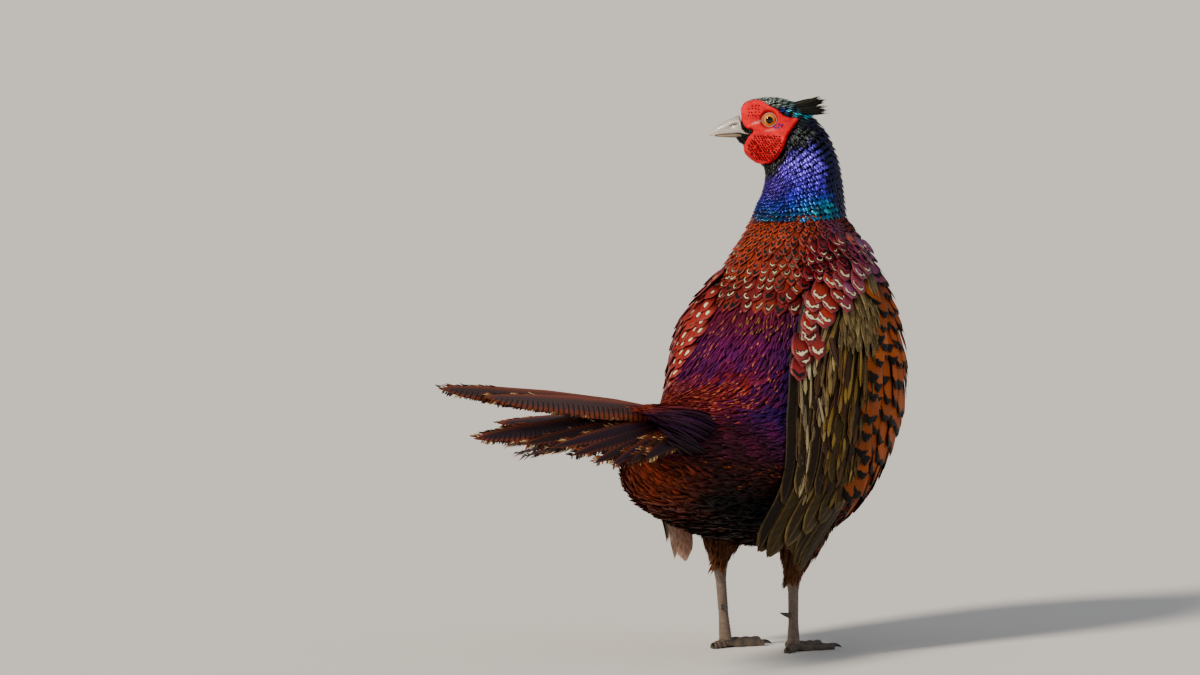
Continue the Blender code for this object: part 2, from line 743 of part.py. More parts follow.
def shank_line(hock, foot):
    steps = np.linspace(0, 1, SHANK_MESH[0])
    line = hock + (foot - hock) * steps[:, None]
    return np.vstack([hock + np.array([0.0, 3.0, 9.0]), line])


def shank_radii(count):
    steps = np.linspace(0, 1, count - 1)
    radii = TARSUS_RADIUS * np.interp(steps, [0, 0.1, 0.25, 0.7, 0.9, 1.0], [1.35, 1.3, 0.98, 0.92, 1.12, 1.2])
    return np.append([3.6], radii)


def toe_line(side, foot, heading, length, steps):
    aim = np.array([math.sin(heading) * side, math.cos(heading), 0.0])
    line = foot + aim * length * steps[:, None]
    line[:, 2] = np.interp(steps, [0, 0.25, 1], [5.4, 3.4, 2.2])
    return line


def make_shank(name, side, parts):
    """Bare tarsus with raised front scutes, and four toes flat on the floor."""
    _, hock, foot = leg_points(side)
    line = shank_line(hock, foot)
    pieces = [tapered_tube(name, line, shank_radii(len(line)), parts, around=SHANK_MESH[1])]
    for toe, heading, length in TOES:
        shares = np.linspace(0, 1, 7)
        path = toe_line(side, foot, heading, length, shares)
        knuckle = 1 + 0.08 * np.cos(shares * math.pi * 6)
        widths = TOE_RADIUS * np.interp(shares, [0, 1], [1.0, 0.66]) * knuckle
        pieces.append(tapered_tube(f"{name}_{toe}", path, widths, parts, around=10, floor=0.0))
    pieces += scutes(side, hock, foot, parts)
    return joined(name, pieces, parts)


def scutes(side, hock, foot, parts):
    """Overlapping plates down the front of the tarsus."""
    plates = []
    down = unit(foot - hock)
    ahead = unit(np.cross([side, 0.0, 0.0], down) * side)
    ahead = ahead if ahead[1] > 0 else -ahead
    across = np.cross(down, ahead)
    for place in range(SCUTES):
        start = hock + (foot - hock) * (0.14 + 0.72 * place / SCUTES)
        upper_end = start + ahead * (TARSUS_RADIUS * 0.70)
        line = np.array([upper_end, start + down * SCUTE_LENGTH + ahead * (TARSUS_RADIUS * 0.96)])
        plates.append(vane(
            f"scute_{side}_{place}", line, np.array([across, across]), np.array([ahead, ahead]),
            [2.3, 2.7], parts, thickness=1.1, camber=0.3,
        ))
    return plates


def make_claws(side_name, side, shank, parts, helpers):
    made = []
    _, _, foot = leg_points(side)
    for toe, heading, length in TOES:
        aim = np.array([math.sin(heading) * side, math.cos(heading), 0.0])
        start = foot + aim * (length - 2.0)
        start[2] = 2.6
        reach = 6.0 if toe == "hind" else 10.0
        steps = np.linspace(0, 1, 6)
        line = start + aim * reach * steps[:, None]
        line[:, 2] += 1.3 * np.sin(math.pi * steps * 0.8) - 2.2 * steps**2
        radii = np.interp(steps, [0, 0.3, 1], [1.9, 1.8, 0.35])
        claw = tapered_tube(f"claw_{side_name}_{toe}", line, radii, parts, around=8, floor=0.2)
        made.append(cut_clear(claw, [shank], helpers))
    return made


def make_spur(name, side, shank, parts, helpers):
    """The cock's spur, on the inner back of the tarsus."""
    _, hock, foot = leg_points(side)
    root = hock + (foot - hock) * SPUR_AT
    steps = np.linspace(0, 1, 5)[:, None]
    aim = unit(np.array([-side * 0.45, -1.0, 0.12]))
    line = root + aim * SPUR_LENGTH * steps + UP * 2.0 * steps**2
    spur = tapered_tube(name, line, [2.6, 2.3, 1.8, 1.1, 0.3], parts, around=8)
    return cut_clear(spur, [shank], helpers)


def finish(item, material):
    item.data.materials.clear()
    item.data.materials.append(material)
    item.data.shade_smooth()
    item.data.set_sharp_from_angle(angle=math.radians(50))


def build():
    clear_scene()
    parts = collection_named("common_pheasant")
    helpers = collection_named("cutters")
    helpers.hide_render = True
    plumage = {
        "head": material_of("glossy_green_black_plumage", (0.01, 0.05, 0.06), 0.35, 0.2),
        "neck": material_of("violet_blue_plumage", (0.03, 0.03, 0.25), 0.35, 0.2),
        "torso": material_of("copper_plumage", (0.30, 0.07, 0.03), 0.55),
        "wing": material_of("maroon_and_olive_plumage", (0.20, 0.08, 0.03), 0.55),
        "tail": material_of("barred_tail_feathers", (0.22, 0.13, 0.08), 0.6),
        "thigh": material_of("dark_brown_plumage", (0.07, 0.03, 0.015), 0.7),
        "wattle": material_of("bare_red_skin", (0.65, 0.02, 0.02), 0.6),
        "bill": material_of("pale_horn_bill", (0.62, 0.56, 0.45), 0.35),
        "shank": material_of("grey_scaly_leg_skin", (0.28, 0.24, 0.20), 0.55),
        "claw": material_of("dark_horn_claw", (0.09, 0.07, 0.05), 0.35),
        "eye": material_of("amber_eye", (0.75, 0.32, 0.03), 0.08),
    }
    head = make_head(parts)
    neck = make_neck(parts)
    torso = make_torso(parts)
    made = {"head": [head], "neck": [neck], "torso": [torso]}
    eyes = [make_eye("eye_left", 1, parts), make_eye("eye_right", -1, parts)]
    lids = [lid_ring(1, parts), lid_ring(-1, parts)]
    bare_head = grown(head, 0.0, helpers)
    made["bill"] = make_bill(parts, head, helpers)
    made["head"] += [
        make_ear_tuft(f"ear_tuft_{word}", side, head, parts, helpers) for word, side in (("left", 1), ("right", -1))
    ]
    lid_copies = [grown(lid, 0.0, helpers) for lid in lids]
    joined("head", [head] + lids, parts)
    cut_clear(head, eyes, helpers)
    made["wattle"] = [
        make_wattle(f"wattle_{word}", side, bare_head, lid_copies + eyes + made["bill"], parts, helpers)
        for word, side in (("left", 1), ("right", -1))
    ]
    for copy in lid_copies + [bare_head]:
        removed(copy)
    made["eye"] = eyes
    shanks = [make_shank("shank_left", -1, parts), make_shank("shank_right", 1, parts)]
    made["shank"] = shanks
    made["thigh"] = [
        make_thigh("thigh_left", -1, torso, parts, helpers),
        make_thigh("thigh_right", 1, torso, parts, helpers),
    ]
    made["claw"] = make_claws("left", -1, shanks[0], parts, helpers)
    made["claw"] += make_claws("right", 1, shanks[1], parts, helpers)
    made["claw"] += [
        make_spur("spur_left", -1, shanks[0], parts, helpers),
        make_spur("spur_right", 1, shanks[1], parts, helpers),
    ]
    made["wing"] = [
        make_wing("wing_left", -1, torso, parts, helpers),
        make_wing("wing_right", 1, torso, parts, helpers),
    ]
    made["tail"] = [make_tail(torso, parts, helpers)]
    for group, items in made.items():
        for item in items:
            finish(item, plumage[group])
    centre_on_floor(parts)


def centre_on_floor(parts):
    """Hangs every part on one empty, which puts the origin under the middle of the whole bird."""
    corners = np.array([
        list(item.matrix_world @ Vector(corner)) for item in parts.objects for corner in item.bound_box
    ])
    middle = (corners.min(axis=0) + corners.max(axis=0)) / 2
    stand = bpy.data.objects.new("pheasant", None)
    parts.objects.link(stand)
    stand.location = (-middle[0], -middle[1], -corners[:, 2].min())
    for item in list(parts.objects):
        if item is not stand:
            item.parent = stand


build()
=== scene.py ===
import math

import bpy
import numpy as np
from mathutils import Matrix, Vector
from numpy.random import default_rng


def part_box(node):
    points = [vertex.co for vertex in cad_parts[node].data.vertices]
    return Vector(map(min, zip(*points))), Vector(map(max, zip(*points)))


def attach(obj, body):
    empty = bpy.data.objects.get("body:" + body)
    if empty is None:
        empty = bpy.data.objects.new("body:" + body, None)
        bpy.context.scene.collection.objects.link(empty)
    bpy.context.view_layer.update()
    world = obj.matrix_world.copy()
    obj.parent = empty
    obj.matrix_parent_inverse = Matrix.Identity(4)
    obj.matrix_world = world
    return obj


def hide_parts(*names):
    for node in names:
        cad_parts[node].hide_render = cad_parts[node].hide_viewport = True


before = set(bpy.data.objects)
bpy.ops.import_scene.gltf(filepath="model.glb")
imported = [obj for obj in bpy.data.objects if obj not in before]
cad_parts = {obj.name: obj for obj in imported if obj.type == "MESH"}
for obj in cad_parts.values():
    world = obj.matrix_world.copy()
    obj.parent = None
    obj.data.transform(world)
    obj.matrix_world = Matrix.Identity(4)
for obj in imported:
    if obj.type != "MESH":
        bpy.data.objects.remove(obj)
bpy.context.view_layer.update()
print("frame loaded")

millimetre = 0.001
degree = math.pi / 180
up = np.array([0.0, 0.0, 1.0])

# The head's own axes, from a point between the eyes. The bird itself heads +Y and its right side is +X.
headTurn = math.radians(120)
headAt = np.array([-18.0, 51.5, 433.0])
headForward = np.array([-math.sin(headTurn), math.cos(headTurn), 0.0])
headLeft = np.array([-math.cos(headTurn), -math.sin(headTurn), 0.0])
eyeReach = 12.6
eyeRadius = 6.2


def unit(vector):
    return vector / np.maximum(np.linalg.norm(vector, axis=-1, keepdims=True), 1e-9)


# A point given by how far forward, left and up it lies on the head
def headPoint(forward, left, rise):
    forward, left, rise = (np.asarray(part, float)[..., None] for part in (forward, left, rise))
    return headAt + forward * headForward + left * headLeft + rise * up


low, high = (np.array(corner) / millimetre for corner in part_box("eye_left"))
rowShift = (low + high) / 2 - headPoint(0.0, eyeReach, 0.0)


# sRGB hex to the linear colour that Blender works in
def hexColour(text):
    parts = np.array([int(text[first:first + 2], 16) for first in (1, 3, 5)]) / 255
    return np.where(parts <= 0.04045, parts / 12.92, ((parts + 0.055) / 1.055) ** 2.4)


# Smooth step from 0 at low to 1 at high; with low above high it falls
def ease(value, low, high):
    share = np.clip((np.asarray(value, float) - low) / (high - low), 0, 1)
    return share * share * (3 - 2 * share)


# 1 at 0, falling away evenly on both sides over the given width
def bell(value, width):
    return np.exp(-((value / width) ** 2))


# Colours laid over the first one after another, each with its share
def blend(*layers):
    result, *colours = (
        hexColour(item) if isinstance(item, str) else item for item in (layers[0], *layers[1::2])
    )
    for colour, share in zip(colours, layers[2::2]):
        result = result + (colour - result) * np.asarray(share)[..., None]
    return result


# Colour read off a row of places with a hex colour for each
def ramp(value, places, colours):
    colours = np.array([hexColour(text) for text in colours.split()])
    return np.stack([np.interp(value, places, colours[:, channel]) for channel in range(3)], axis=-1)


# Sum of six sine waves in fixed random directions, about -1 to 1, with patches of the given size
def patches(points, size, seed):
    draw = default_rng(seed)
    waves = unit(draw.normal(size=(6, 3))) * (2 * math.pi / size)
    phases = draw.uniform(0, 2 * math.pi, 6)
    return np.sin(points @ waves.T + phases).sum(axis=-1) / 2.6


# Catmull-Rom through rows of numbers, read at places counted in rows, and straight on past both ends
def smoothRows(rows, places):
    places = np.asarray(places, float)
    padded = np.concatenate([[2 * rows[0] - rows[1]], rows, [2 * rows[-1] - rows[-2]]])
    inside = np.clip(places, 0, len(rows) - 1)
    first = np.minimum(inside.astype(int), len(rows) - 2)
    t = (inside - first)[..., None]
    before, start, end, after = (padded[first + step] for step in range(4))
    curve = 0.5 * (
        2 * start
        + (end - before) * t
        + (2 * before - 5 * start + 4 * end - after) * t**2
        + (3 * start - before - 3 * end + after) * t**3
    )
    over = (places - inside)[..., None]
    return curve + over * np.where(over > 0, rows[-1] - rows[-2], rows[1] - rows[0])


# Head and neck: crown or nape (forward, up), chin or throat (forward, up), half width
headRings = np.array([
    [24.0, 4.0, 24.5, -16.5, 8.2],
    [22.6, 9.0, 22.0, -20.5, 10.8],
    [18.6, 13.9, 19.0, -25.0, 13.4],
    [10.4, 16.6, 15.0, -30.0, 15.6],
    [0.0, 17.9, 11.0, -34.0, 17.0],
    [-10.0, 17.2, 8.0, -36.5, 18.4],
    [-21.0, 13.8, 6.0, -38.5, 20.0],
    [-31.5, 7.0, 4.5, -40.5, 21.4],
    [-40.6, -2.5, 3.5, -43.0, 22.6],
    [-48.6, -13.0, 3.0, -47.0, 24.2],
    [-55.6, -28.0, 3.4, -53.5, 26.4],
    [-60.0, -46.0, 5.8, -62.0, 30.0],
    [-62.4, -65.0, 10.6, -72.0, 34.4],
    [-63.5, -81.0, 13.5, -81.0, 38.5],
])
# Torso: back (y, z), breast or belly (y, z), half width
torsoRings = np.array([
    [25.5, 351.7, 102.5, 351.7, 38.5],
    [20.0, 339.0, 117.0, 337.0, 46.0],
    [11.0, 322.0, 136.0, 317.0, 57.0],
    [1.0, 304.0, 151.0, 292.0, 68.0],
    [-10.0, 288.0, 159.0, 263.0, 78.0],
    [-22.0, 271.0, 163.0, 230.0, 85.0],
    [-36.0, 255.0, 161.0, 196.0, 88.0],
    [-50.0, 240.0, 150.0, 160.0, 88.0],
    [-66.0, 228.0, 128.0, 127.0, 85.0],
    [-84.0, 219.0, 95.0, 100.0, 80.0],
    [-102.0, 214.0, 48.0, 86.0, 74.0],
    [-118.0, 211.0, -10.0, 88.0, 67.0],
    [-131.0, 208.0, -66.0, 99.0, 59.0],
    [-142.0, 205.0, -114.0, 112.0, 50.0],
    [-153.0, 201.0, -156.0, 126.0, 39.0],
    [-164.0, 195.0, -186.0, 142.0, 27.0],
    [-174.0, 186.0, -198.0, 158.0, 14.0],
])
ovalPower = 2 / 2.15
zeros = np.zeros(len(torsoRings))
headRows = np.column_stack([
    headPoint(headRings[:, 0], 0.0, headRings[:, 1]), headPoint(headRings[:, 2], 0.0, headRings[:, 3]),
    headRings[:, 4],
])
torsoRows = np.column_stack([
    zeros, torsoRings[:, 0], torsoRings[:, 1], zeros, torsoRings[:, 2], torsoRings[:, 3], torsoRings[:, 4],
])
torsoRows[:4, [0, 3]] += np.array([3.6, 2.4, 1.0, 0.2])[:, None]  # the neck's base sits a little to its right


# An oval ring through a back point and a front point, with its width across side; the angle is 0 at the back
def ovalPoint(rows, side, place, angle):
    row = smoothRows(rows, place)
    back, front, half = row[..., :3], row[..., 3:6], row[..., 6:7]
    lift = (np.sign(np.cos(angle)) * np.abs(np.cos(angle)) ** ovalPower)[..., None]
    reach = (np.sign(np.sin(angle)) * np.abs(np.sin(angle)) ** ovalPower)[..., None]
    return (back + front) / 2 + (back - front) / 2 * lift + half * reach * side


def headSurface(place, angle):
    return ovalPoint(headRows, headLeft, place, angle)


def torsoSurface(place, angle):
    return ovalPoint(torsoRows, np.array([1.0, 0.0, 0.0]), place, angle)


# How far round a ring an angle lies from the back, 0 to 180 degrees
def fromBack(angle):
    return np.abs(np.mod(angle + math.pi, 2 * math.pi) - math.pi) / degree


def circle(number):
    return np.linspace(0, 2 * math.pi, number, endpoint=False)


# Wing sheets from shoulder to tip, each row front, middle and rear (x, y, z)
wingRows = {
    1: np.array([
        [72, 62, 306, 62, 34, 315, 44, 6, 312],
        [91, 38, 256, 84, 2, 266, 54, -32, 268],
        [95, 18, 196, 90, -20, 204, 68, -56, 206],
        [89, 2, 138, 84, -34, 142, 71, -72, 144],
        [76, -46, 83, 72, -86, 81, 62, -122, 84],
    ], float),
    -1: np.array([
        [-64, 72, 299, -57, 44, 302, -42, 14, 300],
        [-83, 46, 250, -79, 14, 258, -58, -16, 262],
        [-88, 28, 196, -84, -2, 204, -66, -34, 206],
        [-82, 12, 136, -77, -20, 140, -66, -48, 142],
        [-61, -12, 80, -62, -30, 70, -56, -46, 90],
    ], float),
}


# Along the wing a smooth curve, and across it the parabola through front, middle and rear
def wingSheet(side, t, b):
    row = smoothRows(wingRows[side], np.asarray(t) * 4)
    b = np.asarray(b)[..., None]
    front, middle, rear = row[..., :3], row[..., 3:6], row[..., 6:]
    return front * (1 - b) * (1 - 2 * b) + middle * 4 * b * (1 - b) + rear * b * (2 * b - 1)


# The sheet raised by the flesh and inner coverts, which thin out towards the tip
def wingSurface(side):
    def surface(t, b):
        point, normal = frameAt(lambda u, v: wingSheet(side, u, v), -side, t, b)
        return point + normal * (5.0 * ease(t, 0.5, 0.0) + 0.6)[..., None]
    return surface


# A surface's point and outward normal, the cross product of its two slopes; turn is 1 or -1 for its
# handedness
def frameAt(surface, turn, u, v):
    u, v = np.broadcast_arrays(np.asarray(u, float), np.asarray(v, float))
    step = 0.01
    alongU = surface(u + step, v) - surface(u - step, v)
    alongV = surface(u, v + step) - surface(u, v - step)
    return surface(u, v), unit(np.cross(alongU, alongV)) * turn


surfaces = {
    "head": (headSurface, -1), "torso": (torsoSurface, 1), "right": (wingSurface(1), -1),
    "left": (wingSurface(-1), 1),
}


# What the word after a node's kind sets
settingOf = {
    "Math": "operation", "VectorMath": "operation", "MixRGB": "blend_type", "MapRange": "interpolation_type",
    "Attribute": "attribute_name", "UVMap": "uv_map", "TexVoronoi": "feature",
}


# One small function adds a node, named by its kind and main setting; values and links fill its sockets, in
# order or by name. A node stands for its first output, and a hex string for its colour.
def add(tree, kind, *values, **sockets):
    kind, _, setting = kind.partition(" ")
    node = tree.nodes.new("ShaderNode" + kind)
    if setting:
        setattr(node, settingOf[kind], setting)
    for key, value in [*enumerate(values), *sockets.items()]:
        value = value.outputs[0] if isinstance(value, bpy.types.Node) else value
        if isinstance(value, bpy.types.NodeSocket):
            tree.links.new(value, node.inputs[key])
        else:
            node.inputs[key].default_value = (*hexColour(value), 1.0) if isinstance(value, str) else value
    return node


def newMaterial(name, **sockets):
    material = bpy.data.materials.new(name)
    material.use_nodes = True
    tree = material.node_tree
    shader = tree.nodes["Principled BSDF"]
    for key, value in sockets.items():
        shader.inputs[key].default_value = value
    return material, tree, shader


# Links a material's colour and, where a height is given, its bump
def finishMaterial(tree, shader, colour, height=None, strength=0.5, distance=0.0003):
    tree.links.new(colour.outputs[0], shader.inputs["Base Color"])
    if height:
        bump = add(tree, "Bump", Strength=strength, Distance=distance, Height=height)
        tree.links.new(bump.outputs[0], shader.inputs["Normal"])


# A mesh piece from points in millimetres, lists of equal-sided faces, maps and colours per point
def meshPiece(name, points, faceSets, material, maps, colours=None, numbers=None):
    mesh = bpy.data.meshes.new(name)
    faceSets = [np.asarray(faces, np.int32) for faces in faceSets if len(faces)]
    corners = np.concatenate([faces.ravel() for faces in faceSets])
    sizes = np.concatenate([np.full(len(faces), faces.shape[1]) for faces in faceSets])
    mesh.vertices.add(len(points))
    mesh.vertices.foreach_set("co", ((points + rowShift) * millimetre).astype(np.float32).ravel())
    mesh.loops.add(len(corners))
    mesh.polygons.add(len(sizes))
    mesh.polygons.foreach_set("loop_start", (np.cumsum(sizes) - sizes).astype(np.int32))
    mesh.polygons.foreach_set("vertices", corners)
    for key, values in maps.items():
        layer = mesh.uv_layers.new(name=key)
        layer.uv.foreach_set("vector", values[corners].astype(np.float32).ravel())
    for key, values in (colours or {}).items():
        layer = mesh.attributes.new(key, "FLOAT_COLOR", "POINT")
        filled = np.ones((len(points), 4), np.float32)
        filled[:, :3] = values
        layer.data.foreach_set("color", filled.ravel())
    for key, values in (numbers or {}).items():
        layer = mesh.attributes.new(key, "FLOAT", "POINT")
        layer.data.foreach_set("value", np.asarray(values, np.float32))
    mesh.update()
    mesh.validate()
    mesh.polygons.foreach_set("use_smooth", np.ones(len(mesh.polygons), bool))
    mesh.materials.append(material)
    piece = bpy.data.objects.new(name, mesh)
    bpy.context.scene.collection.objects.link(piece)
    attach(piece, "root")
    return piece


# Quads of a grid of points; wrapped joins the last column to the first, looped the last row to the first, and
# flipped turns the faces round
def gridFaces(rows, columns, wrapped=False, flipped=False, looped=False):
    row, column = np.meshgrid(
        np.arange(rows if looped else rows - 1), np.arange(columns if wrapped else columns - 1),
        indexing="ij",
    )
    after, below = (column + 1) % columns, (row + 1) % rows
    quads = np.stack(
        [row * columns + column, row * columns + after, below * columns + after, below * columns + column],
        -1,
    )
    quads = quads.reshape(-1, 4)
    return quads[:, ::-1] if flipped else quads


# A closed tube of rings: quads between them and a fan at each end
def tubeFaces(rows, around, flipped=False):
    quads = gridFaces(rows, around, True, flipped)
    step = np.arange(around)
    first, last = rows * around, rows * around + 1
    fanStart = np.stack([(step + 1) % around, step, np.full(around, first)], -1)
    fanEnd = np.stack(
        [(rows - 1) * around + step, (rows - 1) * around + (step + 1) % around, np.full(around, last)], -1,
    )
    fans = np.concatenate([fanStart, fanEnd])
    return quads, (fans[:, ::-1] if flipped else fans)


# Closed sheet of two layers of a grid: the top, the bottom turned round, and the four sides
def sheetFaces(rows, columns):
    top, size = gridFaces(rows, columns), rows * columns
    row, column, last = np.arange(rows - 1) * columns, np.arange(columns - 1), (rows - 1) * columns
    sides = (
        (column + 1, column), (last + column, last + column + 1),
        (row, row + columns), (row + 2 * columns - 1, row + columns - 1),
    )
    rim = [np.stack([start, end, end + size, start + size], -1) for start, end in sides]
    return np.concatenate([top, top[:, ::-1] + size, *rim])


def withEnds(rings):
    return np.concatenate([rings.reshape(-1, 3), [rings[0].mean(axis=0)], [rings[-1].mean(axis=0)]])


# A grid's map, evenly spread between two places across and two along
def gridMap(across, along, rows, columns):
    return np.stack(np.meshgrid(np.linspace(*across, columns), np.linspace(*along, rows)), -1).reshape(-1, 2)


wholeMap = ((0.01, 0.99), (0.01, 0.99), (0.5, 0.0, 1.0))


# One piece of closed tubes. Each has its rings, its colours, whether its faces turn round, and its place on
# the map: across, along, and the column, start and end of the two middle points that close it.
def tubesPiece(name, material, tubes):
    points, quads, fans, maps, tints, offset = [], [], [], [], [], 0
    for rings, tint, flipped, across, along, (column, start, end) in tubes:
        tubeQuads, tubeFans = tubeFaces(*rings.shape[:2], flipped)
        points.append(withEnds(rings))
        quads.append(tubeQuads + offset)
        fans.append(tubeFans + offset)
        offset += len(points[-1])
        maps.append(
            np.concatenate([gridMap(across, along, *rings.shape[:2]), [[column, start], [column, end]]])
        )
        tint = np.broadcast_to(tint, rings.shape).reshape(-1, 3)
        tints.append(np.concatenate([tint, tint[:1], tint[-1:]]))
    points, quads, fans, maps, tints = (np.concatenate(parts) for parts in (points, quads, fans, maps, tints))
    return meshPiece(name, points, [quads, fans], material, {"OFBake": maps}, {"ground": tints})


vaneLook = {
    "columns": 5, "tilt": 0.0, "camber": 0.1, "roundFrom": 0.6, "round": 0.12, "fray": 0.03, "thick": 0.25,
}


# Two-layer closed vanes, all of a tract at once; line is (number, rows, 3). A point is the shaft plus across
# times the half width, dropped by camber towards the edges and leant by tilt; the tip row is drawn back at
# its edges to round it and spread at random to fray it.
def vanes(line, normal, half, bake, look, seed=1):
    look = {**vaneLook, **look}
    draw = default_rng(seed)
    number, rows = line.shape[:2]
    columns = look["columns"]
    along = unit(np.gradient(line, axis=1))
    across = unit(np.cross(along, normal))
    normal = np.cross(across, along)
    x = np.linspace(-1, 1, columns)
    share = look.get("share", np.linspace(0, 1, rows))
    length = np.linalg.norm(line[:, -1] - line[:, 0], axis=-1)[:, None, None, None]
    half = np.broadcast_to(half, (number, rows))[..., None, None]
    spread = x[None, None, :, None]
    tilt = np.broadcast_to(look["tilt"], (number,))[:, None, None, None]
    shape = across[:, :, None] * spread * half
    shape = shape + normal[:, :, None] * half * (tilt * spread - look["camber"] * spread**2)
    drawn = ease(share, look["roundFrom"], 1.0)[None, :, None, None]
    back = look["round"] * spread**2 - look["fray"] * draw.normal(size=(number, 1, columns, 1))
    shape = shape - along[:, :, None] * back * drawn * length
    top = line[:, :, None] + shape
    thick = look["thick"] * np.interp(share, [0, 0.5, 1], [1, 1, 0.5])[None, :, None, None]
    points = np.stack([top, top - normal[:, :, None] * thick], axis=1)
    each = 2 * rows * columns
    faces = (sheetFaces(rows, columns)[None] + (np.arange(number) * each)[:, None, None]).reshape(-1, 4)
    grid = np.stack(np.broadcast_arrays((x[None, :] + 1) / 2, share[:, None]), -1)
    grid = np.broadcast_to(grid, (number, 2, rows, columns, 2))
    patch = bake[:, None, None, None] + (grid - 0.5) * 0.003
    return {
        "points": points.reshape(-1, 3), "faces": faces, "vane": grid.reshape(-1, 2),
        "bake": patch.reshape(-1, 2),
        "each": each,
    }


coatLook = {"rows": 5, "crowd": 1.3, "lean": 0.0, "root": -2.0, "tip": 0.5, "climb": 0.8}


# A look with settings of its own; a pair of numbers is a mean and a spread, drawn for each feather in turn
def scatter(draw, u, look, **own):
    for key, value in own.items():
        if isinstance(value, tuple) and key not in ("profile", "span"):
            own[key] = value[0] + draw.normal(0, value[1], len(u))
    return {**look, **own}


# Vanes laid on a surface from their roots: the shaft follows the surface for its length, turned by lean from
# the direction of growing u, and climbs from the root's depth to the tip's height
def featherCoat(where, u, v, look, seed=1):
    look = {**coatLook, **look}
    surface, turn = surfaces[where]
    share = 1 - (1 - np.linspace(0, 1, look["rows"])) ** look["crowd"]
    step = 0.02
    perU = np.linalg.norm(surface(u + step, v) - surface(u - step, v), axis=-1) / (2 * step)
    perV = np.linalg.norm(surface(u, v + step) - surface(u, v - step), axis=-1) / (2 * step)
    each = (np.broadcast_to(look[key], u.shape) for key in ("length", "lean", "root", "tip", "half"))
    length, lean, root, tip, half = each
    endU = u[:, None] + (length * np.cos(lean) / perU)[:, None] * share
    endV = v[:, None] + (length * np.sin(lean) / perV)[:, None] * share
    point, normal = frameAt(surface, turn, endU, endV)
    height = root[:, None] + (tip - root)[:, None] * share ** look["climb"]
    half = half[:, None] * np.interp(share, *look["profile"])
    spanU, spanV = look["span"]
    bake = np.stack([np.interp(v, spanV, [0.01, 0.99]), np.interp(u, spanU, [0.01, 0.99])], axis=-1)
    return vanes(point + normal * height[..., None], normal, half, bake, {**look, "share": share}, seed)


# Staggered rows of places on a surface: each row is one row gap further along u, and is filled evenly by its
# length. gaps holds places along u, and the gap within a row and between rows at each.
def layOut(where, spanU, spanV, gaps, seed=1, jitter=0.12):
    stops, gap, rowGap = gaps
    surface, _ = surfaces[where]
    draw = default_rng(seed)
    place, number = spanU[0], 0
    us, vs = [], []
    while place < spanU[1]:
        v = np.linspace(*spanV, 80)
        line = surface(np.full(80, place), v)
        run = np.concatenate([[0], np.cumsum(np.linalg.norm(np.diff(line, axis=0), axis=-1))])
        apart = np.interp(place, stops, gap)
        count = max(int(run[-1] / apart), 2)
        at = (np.arange(count) + 0.5 + 0.5 * (number % 2)) * run[-1] / count
        at = at[at < run[-1]] + draw.normal(0, jitter * apart, (at < run[-1]).sum())
        middle = v[40]
        perU = np.linalg.norm(surface(place + 0.02, middle) - surface(place - 0.02, middle)) / 0.04
        stepU = np.interp(place, stops, rowGap) / max(float(perU), 1e-6)
        vs.append(np.interp(at, run, v))
        us.append(place + draw.normal(0, jitter, len(at)) * stepU)
        place += stepU
        number += 1
    return np.concatenate(us), np.concatenate(vs)


# One piece from batches of vanes, each with its feathers' own colours and numbers
def coatPiece(name, kind, batches):
    starts = np.cumsum([0] + [len(batch["points"]) for batch in batches])

    def joined(key):
        return np.concatenate([batch[key] for batch in batches])

    def gathered(key):
        return np.concatenate([np.repeat(batch["paint"][key], batch["each"], axis=0) for batch in batches])

    piece = meshPiece(
        name, joined("points"), [batch["faces"] + start for batch, start in zip(batches, starts)],
        feathers[kind],
        {"OFBake": joined("bake"), "vane": joined("vane")},
        {key: gathered(key) for key in ("ground", "fringe", "mark")},
        {key: gathered(key) for key in ("marking", "chance")},
    )
    print(name, len(piece.data.polygons) * 2, "triangles")
    return piece


def paint(batch, ground, fringe=None, mark=None, marking=0.0, seed=5, vary=0.12):
    draw = default_rng(seed)
    number = len(batch["points"]) // batch["each"]

    def whole(colour):
        colour = hexColour(colour) if isinstance(colour, str) else np.asarray(colour)
        return np.broadcast_to(colour, (number, 3))

    shade = np.exp(draw.normal(0, vary, (number, 1)))
    ground = whole(ground)
    batch["paint"] = {
        "ground": ground * shade,
        "fringe": whole(ground if fringe is None else fringe) * shade,
        "mark": whole("#0A0606" if mark is None else mark),
        "marking": np.broadcast_to(np.asarray(marking, float), (number,)),
        "chance": draw.uniform(size=number),
    }
    return batch


# What a feather's look holds where it says nothing else
featherLook = {
    "tipFrom": 0.55, "barbs": 60.0, "slant": 9.0, "grain": 900.0, "rootShade": (0.1, 0.6), "rootDark": 0.35,
    "fringeSoft": 0.1, "sideShare": 1.0, "ragged": 0.5, "raggedScale": 280.0, "skew": 0.36, "bandSide": 0.9,
    "markSide": 0.8, "barbDark": 0.75, "bump": 0.35,
}


